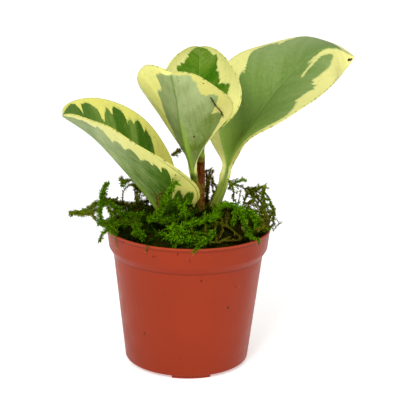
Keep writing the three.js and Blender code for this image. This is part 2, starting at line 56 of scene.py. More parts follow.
# Studio, in metres and watts: how bright the sky is at the horizon and higher up, the lamps,
# and how much the paper floor glows near the pot and far from it
SKY_LOW = 0.25
SKY_HIGH = 0.7
SKY_RISE = 0.8
LAMP_SIDE = 0.6
LAMP_TARGET = (0, 0, 0.1)
LAMPS = {"key_light": ((-0.45, -1.25, 1.15), 16.0), "fill_light": ((0.9, -0.9, 0.5), 3.0)}
FLOOR_REACH = 6.0
FLOOR_NEAR, FLOOR_FAR = 0.3, 1.5
FLOOR_GLOW, FLOOR_GLOW_FAR = 0.42, 0.62
PAPER_GRAIN = 14.0

# Pot, as in the CAD model
RIM_RADIUS = 51.0
POT_HEIGHT = 87.0
LIP_HEIGHT = 1.4
LIP_PROUD = 0.35
LIP_FLAT = 0.7
LIP_BEVEL = 0.4
LIP_STEP = (0.2, 0.3)
RIM_INSIDE_DROP = 0.6
BAND_FOOT_RADIUS = 49.4
BAND_FOOT_Z = 74.5
SHOULDER_RADIUS = 46.6
SHOULDER_Z = 69.9
BASE_RADIUS = 38.9
BASE_BEVEL = (0.5, 0.6)
EDGE_ROUNDING = 0.5
WALL = 1.2
FOOT_HEIGHT = 2.0
FOOT_COUNT = 3
FOOT_TURN = -84.0
FOOT_HALF_ANGLE = 18.5
FOOT_INSET = 1.5
FOOT_WIDTH = 4.0
FOOT_STEPS = 30
PAD_RADIUS = 9.0
PAD_ROUNDING = 0.4
PAD_TURNS = 48
DRAIN_RADIUS = 4.0
DRAIN_PITCH_RADIUS = 28.0
DRAIN_SIDES = 32
POT_TURNS = 192

# Marks all over the pot: how many in a millimetre, detail, roughness, where the noise starts
# to show and where it is full, strength and colour
POT_MARKS = [
    [0.25, 8.0, 0.7, 0.62, 0.8, 0.25, 0xa25038],
    [0.9, 2.0, 0.5, 0.74, 0.8, 0.35, 0xb07a66],
    [0.33, 2.0, 0.5, 0.75, 0.77, 0.6, 0x4a1c0e],
]

# Painted light and shade round the pot: the heights between which each comes in, those between
# which it goes out again, strength and colour. They are painted shade on the bevel, a painted
# highlight on the lip, a painted shadow line under it, the lower wall painted darker towards the
# bottom, and a painted shadow in the crease at the shoulder.
POT_PAINTED_LIGHT = [
    [SHOULDER_Z, SHOULDER_Z + 0.8, BAND_FOOT_Z - 1.2, BAND_FOOT_Z + 0.4, 0.4, 0x8d2400],
    [POT_HEIGHT - 1.1, POT_HEIGHT - 0.6, POT_HEIGHT + 1, POT_HEIGHT + 2, 0.4, 0xb04c2e],
    [POT_HEIGHT - 2.8, POT_HEIGHT - 2.3, POT_HEIGHT - 1.7, POT_HEIGHT - 1.2, 0.42, 0x601c08],
    [-2, -1, 5, 40, 0.4, 0x84290e],
    [SHOULDER_Z - 0.8, SHOULDER_Z - 0.2, SHOULDER_Z + 0.4, SHOULDER_Z + 1.0, 0.4, 0x571a08],
]

# Crumbs on the outside of the pot: turn, height and size
SPECKS = [[-139, 85.4, 0.8], [-113, 80.7, 0.6], [-111, 81, 0.5], [-96, 83.8, 0.7], [-88, 80.1, 0.5],
    [-79, 66, 0.6], [-55, 46.4, 0.7], [-127, 27.5, 0.5], [-95, 14.8, 0.4], [-50, 59, 0.4]]

# Soil and moss surfaces, as in the CAD model
SOIL_EDGE_Z = 81.0
SOIL_CROWN = 1.6
SOIL_BUMP = 0.5
SOIL_RIPPLE = (23, 0.4)
MOSS_EDGE_RADIUS = 47.6
MOSS_FRONT_RETREAT = 3.2
MOSS_EDGE_Z = 84.0
MOSS_CROWN = 12.5
MOSS_BUMP = 1.3
MOSS_RIPPLE = (31, 1.1)

# Soil: its skin inside the pot, the lumps on it, and the crumbs' number and sizes
SOIL_GAP = 0.5
SOIL_LIFT = 0.35
SOIL_REACH = 48.4
SOIL_TOP_REACH = 48.2
SOIL_TURNS = 160
SOIL_ROWS = 60
SOIL_LUMP = 0.7
SOIL_LUMP_PITCH = 9.0
CRUMB_COUNT = 2600
CRUMB_SIZES = (0.4, 1.6)
CRUMB_REACH = 47.0
CRUMB_INNER = 0.35
CRUMB_RISE = 0.25
CRUMB_STRETCH = (0.55, 1.3)
CRUMB_SQUASH = (0.5, 1.1)
CRUMB_CORNERS = [[1, 0, 0], [-1, 0, 0], [0, 1, 0], [0, -1, 0], [0, 0, 1], [0, 0, -1]]
CRUMB_FACES = [[0, 2, 4], [2, 1, 4], [1, 3, 4], [3, 0, 4], [2, 0, 5], [1, 2, 5], [3, 1, 5], [0, 3, 5]]
LUMP_SCALES = (1.0, 0.55, 0.3, 0.17)
LUMP_WAVES = 3

# Stem: its middle line and radius, the scars round it and the low ridges along it
STEM_ROUTE = [[8.4, 0, 78, 2.3], [8.2, 0, 88, 2.5], [7.3, 0, 104, 2.5], [6.8, 0, 114.5, 2.9],
    [6.9, 0, 121, 2.5], [6.9, 0, 127.5, 2.5]]
STEM_ROWS = 120
STEM_SIDES = 40
STEM_SCARS = [95, 104, 113, 119.5]
SCAR_PROUD = 0.16
SCAR_SPREAD = 0.7
STEM_RIDGE, STEM_KNOTS = 0.06, 0.05
STEM_BROWNS = [(0.3, 0x341404), (0.5, 0x5e2c0a), (0.7, 0x865420)]
OLIVE_FROM, OLIVE_FULL = 119.0, 110.0

# Blade thickness, which tapers where the blade is narrow
BLADE_THICKNESS = 1.3
MARGIN_THICKNESS = 0.8
TAPER_START, TAPER_RISE = 0.45, 0.07

# Rib on the underside: its radius falls to the end radius at a share of the midrib, and its
# middle lies below the surface
RIB_SHARE = 0.7
RIB_END_RADIUS = 0.6
RIB_SINK = 0.95
RIB_BULGE, RIB_BULGE_WIDTH = 0.6, 0.8
RIB_SOFTNESS, UNDER_RIB_SOFTNESS = 1.6, 1.4

# The midrib's direction is a mean over these reaches of it, so that the blade bends softly
REACH = 0.2
DIRECTION_SHIFTS = (-0.08, -0.04, 0, 0.04, 0.08)

# Relief of the blade: side veins, the quilting between them, the groove over the rib and the
# waves of the margin
VEIN_LEAN, VEIN_PITCH = 0.28, 8.0
QUILT_HEIGHT, QUILT_PITCH = 0.1, 11.0
QUILT_FROM_RIB, QUILT_FROM_MARGIN = 4, 8
GROOVE_DEPTH, GROOVE_WIDTH, GROOVE_END = 0.32, 0.9, 0.3
WAVE_HEIGHT, WAVE_PITCH, WAVE_WIDTH = 0.35, 7.0, 20

# Rows and columns of the blade's skin. The rows stop just short of both ends.
BLADE_ROWS = 160
FIRST_ROW, ROW_SPAN = 0.0015, 0.997
PETIOLE_ROWS = 26
HALF_COLUMNS = 36
COLUMN_CROWDING = 1.2
EDGE_POINTS = 3
EDGE_TURN = 0.12
BEND_STEPS = 4

# Petiole: the wings on its upper side and the channel between them
WING_TURN, WING_WIDTH, WING_GROWTH = 1.1, 0.34, 1.5
CHANNEL_WIDTH = 0.45

# Values for the material: the root of what isn't petiole, the least half width for the green's
# edge, and a half without a narrower place
FAR_AWAY = 99.0
LEAST_GREEN_WIDTH = 4.0
NO_TRIM = [0.5, 1, 0]

# The far half's veins are counted from here, so that the material can tell the halves apart
FAR_VEINS = 500

# Markings: the roundness and mean of the waves on the green's edge, how far these and the side
# veins wander, and the millimetres over which green turns to cream, more below than above
LOBE_ROUNDNESS, LOBE_MEAN = 0.6, 0.72
LOBE_WANDER, VEIN_WANDER = 7.0, 2.5
BLURRED_EDGE, SHARP_EDGE = (-0.8, 0.7), (-0.2, 0.25)

# What a leaf has unless it says otherwise. Along the midrib, the foot's paler green, which is partly
# its own yellower green and partly painted light on the shaded fold there, is given as the shares
# between which it fades out, its strength, and the shares between which it sets in, and blend is
# the share over which the blade grows out of the petiole. Along the petiole, fade is how many
# millimetres of cream edge it has, channel how deep it is hollowed above, and brown_foot how far
# from the stem it is green again, and still brown. inner is how much darker the green is towards
# the midrib, and seam the strength of a dark line inside the near margin. streaks are cream
# strokes on the far half, each from one place and share to another, with a radius at both.
LEAF_USUAL = {"lit_foot_green": [0.16, 0.02, 0.6, -0.2, -0.1], "fade": 0.3, "channel": 0, "blend": 0.07,
              "inner": 0, "seam": 0, "brown_foot": None, "streaks": []}

# Paints of each leaf: three greens from dark to pale, cream and gold of the upper face, pale and
# dark green, near cream and far cream of the underside, and the green of the foot. On the front
# leaf the far cream is painted lighter and the near cream darker, as painted light and shade on
# its two halves; the left leaf's dark underside green is partly painted shade from the moss, and
# the foot's green is partly painted light.
PALETTES = {
    "leaf_left": [0x3a620e, 0x587826, 0x7a9444, 0xe2de72, 0xc6c04a, 0x97a768, 0x3c600a, 0xd6d47c,
                  0xd6d47c, 0x8cb024],
    "leaf_right": [0x4c6c22, 0x6e8a40, 0x92a668, 0xdedb86, 0xe2de88, 0xa4b480, 0x8aa456, 0xdfdf90,
                   0xdfdf90, 0xb0d05c],
    "leaf_front": [0x5c8028, 0x7e9c46, 0x9cb068, 0xf0ec94, 0xe4e080, 0x9fae76, 0x5c7119, 0xc8c46c,
                   0xf4f08e, 0x8cb024],
    "leaf_back": [0x3e7408, 0x688e24, 0x9cb062, 0xfcf8a0, 0xeae67c, 0xa4bb88, 0x7a9c50, 0xe4e28c,
                  0xe4e28c, 0x8cb024],
}

# Leaves. The form is the CAD model's own: the midrib, the way the upper face looks along it, the
# width, the powers that round the foot and the tip, how far the margin sweeps forwards, and in
# degrees how each half folds up and curls. trim is where a half is narrower, how far and by how
# much, and wing how far the petiole's wing stands out on that side.
# green says how far out from the midrib the green reaches, as [place of the vein, share of the
# half width], and tone how dark it is along the same veins, from 0 for pale to 1 for dark. Near
# the foot the tone also holds painted light: darker on the left leaf as painted shade where the
# moss shades it, and paler on the right leaf to lighten the shade in its fold. The veins lean
# towards the tip. lobes are the pitch and height of the waves on the green's edge, ragged the
# height of its small ones, and streaky the strength of the streaks along the veins. Each spot has
# its half, place along the midrib, share of the half width, and radius.
LEAVES = {
    "leaf_left": {
        "midrib": [[4, -3, 87.5], [-11, -8.5, 89], [-22, -16.5, 107.5], [-39, -21.5, 128.5],
            [-56.5, -23, 147], [-73.5, -29.5, 160.5]],
        "facing": [[0.25, 0.15, 0.95], [0.55, 0.15, 0.8], [0.3, -0.3, 0.9]],
        "width": 76.5, "foot": 0.61, "tip": 0.48, "sweep": 0.09,
        "lobes": [[7.5, 1.3], [2.9, 0.5], [1.25, 0.6]], "ragged": 1.0, "streaky": 0.32, "seam": 0.7,
        "petiole": [[8.3, 0, 88.5, 2.2], [6.2, -1.5, 87, 2.1]],
        "near": {
            "side": -1, "fold": [69, 44, 33, 41], "curl": [11, 0, -4, 1],
            "green": [[-0.28, 0], [-0.05, 0.2], [0.04, 0.62], [0.065, 0.82], [0.085, 0.87], [0.12, 0.84],
                [0.15, 0.76], [0.172, 0.6], [0.185, 0.63], [0.21, 0.65], [0.235, 0.6], [0.25, 0.42],
                [0.262, 0.4], [0.272, 0.7], [0.285, 0.86], [0.31, 0.82], [0.327, 0.68], [0.335, 0.77],
                [0.36, 0.75], [0.377, 0.7], [0.39, 0.74], [0.42, 0.66], [0.447, 0.6], [0.46, 0.68],
                [0.5, 0.7], [0.54, 0.54], [0.57, 0.63], [0.6, 0.6], [0.63, 0.48], [0.67, 0.6], [0.7, 0.72],
                [0.73, 0.78], [0.746, 0.6], [0.79, 0.68], [0.85, 0.73], [0.92, 0.68], [1, 0.5]],
            # The dark tone near the foot is partly painted shade from the moss
            "tone": [[0, 1.1], [0.24, 1.15], [0.3, 1], [0.38, 0.88], [0.5, 0.6], [0.7, 0.25], [0.8, 0.4],
                [1, 0.5]],
        },
        "far": {
            "side": 1, "fold": [59, 49, 40, 6], "curl": [11, 6, 2, -15],
            "green": [[-0.28, 0], [0.22, 0.1], [0.3, 0.5], [0.32, 0.76], [0.345, 0.85], [0.375, 0.86],
                [0.39, 0.78], [0.398, 0.87], [0.42, 0.89], [0.45, 0.84], [0.457, 0.76], [0.475, 0.82],
                [0.5, 0.78], [0.51, 0.68], [0.522, 0.84], [0.56, 0.89], [0.595, 0.85], [0.612, 0.66],
                [0.64, 0.8], [0.662, 0.68], [0.69, 0.42], [0.706, 0.5], [0.715, 0.68], [0.75, 0.76],
                [0.79, 0.82], [0.822, 0.8], [0.838, 0.36], [0.855, 0.6], [0.875, 0.82], [0.91, 0.88],
                [0.955, 0.7], [1, 0.3]],
            "tone": [[0.28, 0.5], [0.33, 0.55], [0.35, 0.95], [0.41, 1], [0.44, 0.9], [0.455, 0.35],
                [0.5, 0.3], [0.52, 0.85], [0.6, 0.9], [0.615, 0.3], [0.69, 0.25], [0.72, 0.4], [0.76, 0.65],
                [0.83, 0.8], [0.87, 0.7], [1, 0.5]],
        },
        "spots": [["far", 0.68, 0.63, 0.5], ["far", 0.54, 0.9, 0.7], ["near", 0.51, 0.98, 0.4],
            ["near", 0.54, 0.98, 0.4], ["near", 0.475, 0.87, 0.35]],
    },
    "leaf_right": {
        "midrib": [[22.2, 5.5, 118], [27, 20, 132], [41.5, 22.5, 153.5], [60.5, 25.5, 178],
            [82.5, 30.5, 195.5], [101.5, 31.5, 189.5]],
        "facing": [[-0.1, -0.8, 0.7], [0.2, -0.6, 0.65], [-0.45, -0.6, 0.7]],
        "width": 75, "foot": 1.05, "tip": 0.74, "sweep": -0.1,
        "lobes": [[3.1, 0.8]], "ragged": 1.8, "streaky": 0.1,
        "petiole": [[8.4, 0, 90, 2.2], [14.5, 0, 96.5, 2.5], [18.2, 0.5, 104, 2.6], [20.9, 2.5, 111, 2.4]],
        "fade": 6.0, "channel": 0.35, "blend": 0.15, "inner": 0.4,
        "lit_foot_green": [0.45, 0.12, 0.85, 0, 0.12],
        "near": {
            "side": -1, "wing": 0.8, "fold": [66, 20, -22, -38], "curl": [9, 0, -4, 5],
            "green": [[-0.28, 0.35], [0.03, 0.28], [0.06, 0.6], [0.1, 0.72], [0.14, 0.66], [0.19, 0.78],
                [0.24, 0.7], [0.29, 0.6], [0.31, 0.7], [0.335, 0.6], [0.345, 0.86], [0.37, 0.93],
                [0.42, 0.94], [0.46, 0.91], [0.478, 0.8], [0.5, 0.91], [0.53, 0.9], [0.56, 1.02],
                [0.74, 1.1], [0.8, 0.9], [0.86, 0.45], [0.9, 0.12], [1, 0]],
            # The pale dip near the foot is partly painted light on the shaded fold
            "tone": [[-0.28, 0.6], [0.02, 0.6], [0.08, 0.25], [0.15, 0.5], [0.3, 0.65], [0.36, 0.5],
                [0.5, 0.35], [0.62, 0.35], [0.8, 0.35], [1, 0.4]],
        },
        "far": {
            "side": 1, "wing": 0.15, "fold": [58, 63, 22, -33], "curl": [-3, 12, 7, 3],
            "trim": [0.93, 0.12, 0.1],
            "green": [[-0.28, 0.35], [0, 0.42], [0.06, 0.62], [0.12, 0.8], [0.16, 0.87], [0.2, 0.92],
                [0.24, 0.93], [0.28, 0.87], [0.32, 0.8], [0.35, 0.75], [0.36, 0.67], [0.4, 0.69],
                [0.44, 0.7], [0.455, 0.76], [0.46, 0.68], [0.485, 0.72], [0.49, 0.58], [0.505, 0.61],
                [0.52, 0.53], [0.57, 0.565], [0.62, 0.57], [0.67, 0.53], [0.72, 0.42], [0.77, 0.34],
                [0.8, 0.1], [1, 0]],
            "tone": [[-0.28, 0.6], [0.02, 0.6], [0.08, 0.3], [0.12, 0.5], [0.25, 0.6], [0.4, 0.5],
                [0.6, 0.35], [1, 0.3]],
        },
        "spots": [["far", 0.965, 0.36, 1.3], ["far", 0.98, 0.4, 1.2], ["far", 0.79, 0.985, 0.8],
            ["far", 0.68, 0.99, 0.6], ["far", 0.6, 0.99, 0.7], ["far", 0.54, 0.99, 0.5],
            ["far", 0.48, 0.99, 0.7]],
        "streaks": [[0.635, 0.26, 0.7, 0.2, 0.9, 1.3], [0.7, 0.2, 0.76, 0.13, 1.3, 2.0],
            [0.69, 0.12, 0.78, 0.12, 0.6, 1.7], [0.76, 0.13, 0.86, 0.17, 2.0, 3.2],
            [0.86, 0.17, 0.97, 0.2, 3.2, 5.5]],
    },
    "leaf_front": {
        "midrib": [[2.5, -9, 125.5], [-1, -18.5, 139], [-5, -24, 156.5], [-7.5, -31, 172.5],
            [-10.5, -41, 188]],
        "facing": [[0.15, 0.9, 0.4], [0.5, 0.8, 0.4], [0.15, 0.8, -0.6]],
        "width": 64.5, "foot": 0.76, "tip": 0.71, "sweep": 0.35,
        "lobes": [[3.4, 0.9]], "ragged": 1.1, "streaky": 0.2,
        "petiole": [[6.6, 0, 108, 2], [5.3, -1.5, 111.5, 2.1], [3.5, -3.5, 115.5, 2.3],
            [2.8, -5.5, 119.8, 2.4]],
        "brown_foot": [12.2, 10.2], "blend": 0.12,
        "near": {
            "side": -1, "fold": [63, 31, 6, -8], "curl": [17, 10, 8, 10],
            "green": [[-0.28, 0.36], [0, 0.4], [0.08, 0.5], [0.14, 0.62], [0.19, 0.73], [0.24, 0.79],
                [0.29, 0.73], [0.36, 0.6], [0.39, 0.66], [0.43, 0.78], [0.48, 0.88], [0.54, 0.86],
                [0.575, 0.78], [0.59, 0.69], [0.66, 0.62], [0.72, 0.68], [0.77, 0.76], [0.82, 0.76],
                [0.86, 0.87], [0.9, 0.91], [0.94, 0.6], [1, 0.05]],
            "tone": [[-0.1, 0.95], [0.22, 0.88], [0.34, 0.68], [0.46, 0.42], [0.56, 0.22], [0.66, 0.06],
                [1, 0.12]],
        },
        "far": {
            "side": 1, "fold": [61, 25, 10, 28], "curl": [22, 11, 7, 20],
            "green": [[-0.28, 0.2], [0, 0.3], [0.2, 0.3], [0.3, 0.33], [0.42, 0.365], [0.54, 0.395],
                [0.6, 0.48], [0.63, 0.47], [0.66, 0.4], [0.71, 0.4], [0.74, 0.5], [0.77, 0.66],
                [0.87, 0.65], [0.93, 0.4], [1, 0]],
            "tone": [[0, 0.5], [0.4, 0.3], [0.7, 0.15], [1, 0.1]],
        },
        "spots": [["near", 0.36, 0.19, 0.8], ["near", 0.85, 0.9, 0.5], ["near", 0.83, 0.28, 0.3],
            ["near", 0.93, 0.3, 0.35], ["near", 0.79, 0.09, 0.3]],
    },
    "leaf_back": {
        "midrib": [[5.9, 1.5, 130], [7.5, 10, 144.5], [7.5, 14.5, 160.5], [5, 18.5, 178],
            [4.5, 25.5, 194.5]],
        "facing": [[-0.45, -0.9, 0.2], [0.05, -1, 0.15], [-0.05, -0.95, 0.3]],
        "width": 60, "foot": 1.14, "tip": 0.64, "sweep": -0.02,
        "lobes": [[4.2, 1.0], [1.9, 0.7]], "ragged": 1.4, "streaky": 0.35,
        "petiole": [[6.9, 0, 123.5, 2.4], [6.9, 0.4, 127, 2.45]],
        "brown_foot": [5.8, 4.8], "blend": 0.14,
        "near": {
            "side": -1, "fold": [3, 7, 23, 43], "curl": [8, 13, 25, 38],
            "green": [[-0.28, 1.1], [0, 1], [0.2, 0.68], [0.4, 0.66], [0.55, 0.7], [0.65, 0.64],
                [0.67, 0.69], [0.7, 0.66], [0.713, 0.55], [0.73, 0.63], [0.745, 0.52], [0.775, 0.5],
                [0.79, 0.54], [0.802, 0.43], [0.815, 0.52], [0.832, 0.38], [0.85, 0.53], [0.92, 0.53],
                [0.97, 0.48], [0.995, 0.1], [1, 0]],
            "tone": [[0, 0.8], [0.6, 0.75], [0.8, 0.6], [0.9, 0.5], [1, 0.4]],
        },
        "far": {
            "side": 1, "fold": [44, 27, 31, 36], "curl": [26, 22, 28, 35],
            "green": [[-0.28, 1.1], [0, 1], [0.2, 0.6], [0.38, 0.58], [0.41, 0.62], [0.45, 0.71],
                [0.47, 0.7], [0.49, 0.6], [0.53, 0.53], [0.55, 0.42], [0.565, 0.48], [0.6, 0.49],
                [0.645, 0.51], [0.665, 0.43], [0.69, 0.51], [0.73, 0.55], [0.765, 0.7], [0.8, 0.75],
                [0.82, 0.6], [0.85, 0.54], [0.89, 0.565], [0.94, 0.55], [0.98, 0.4], [1, 0]],
            "tone": [[0, 0.6], [0.4, 0.35], [0.5, 0.9], [0.6, 0.7], [0.66, 1], [0.8, 0.45], [1, 0.4]],
        },
        "spots": [],
    },
}

# The twig on the front leaf: place along the midrib, share of the half width, and radius
LEAF_TWIG = [[0.72, 0.775, 0.35], [0.65, 0.75, 0.45], [0.58, 0.75, 0.4], [0.51, 0.775, 0.4],
    [0.42, 0.8, 0.3]]
LEAF_TWIG_GAP = 1.6
LEAF_TWIG_COLUMNS = 40

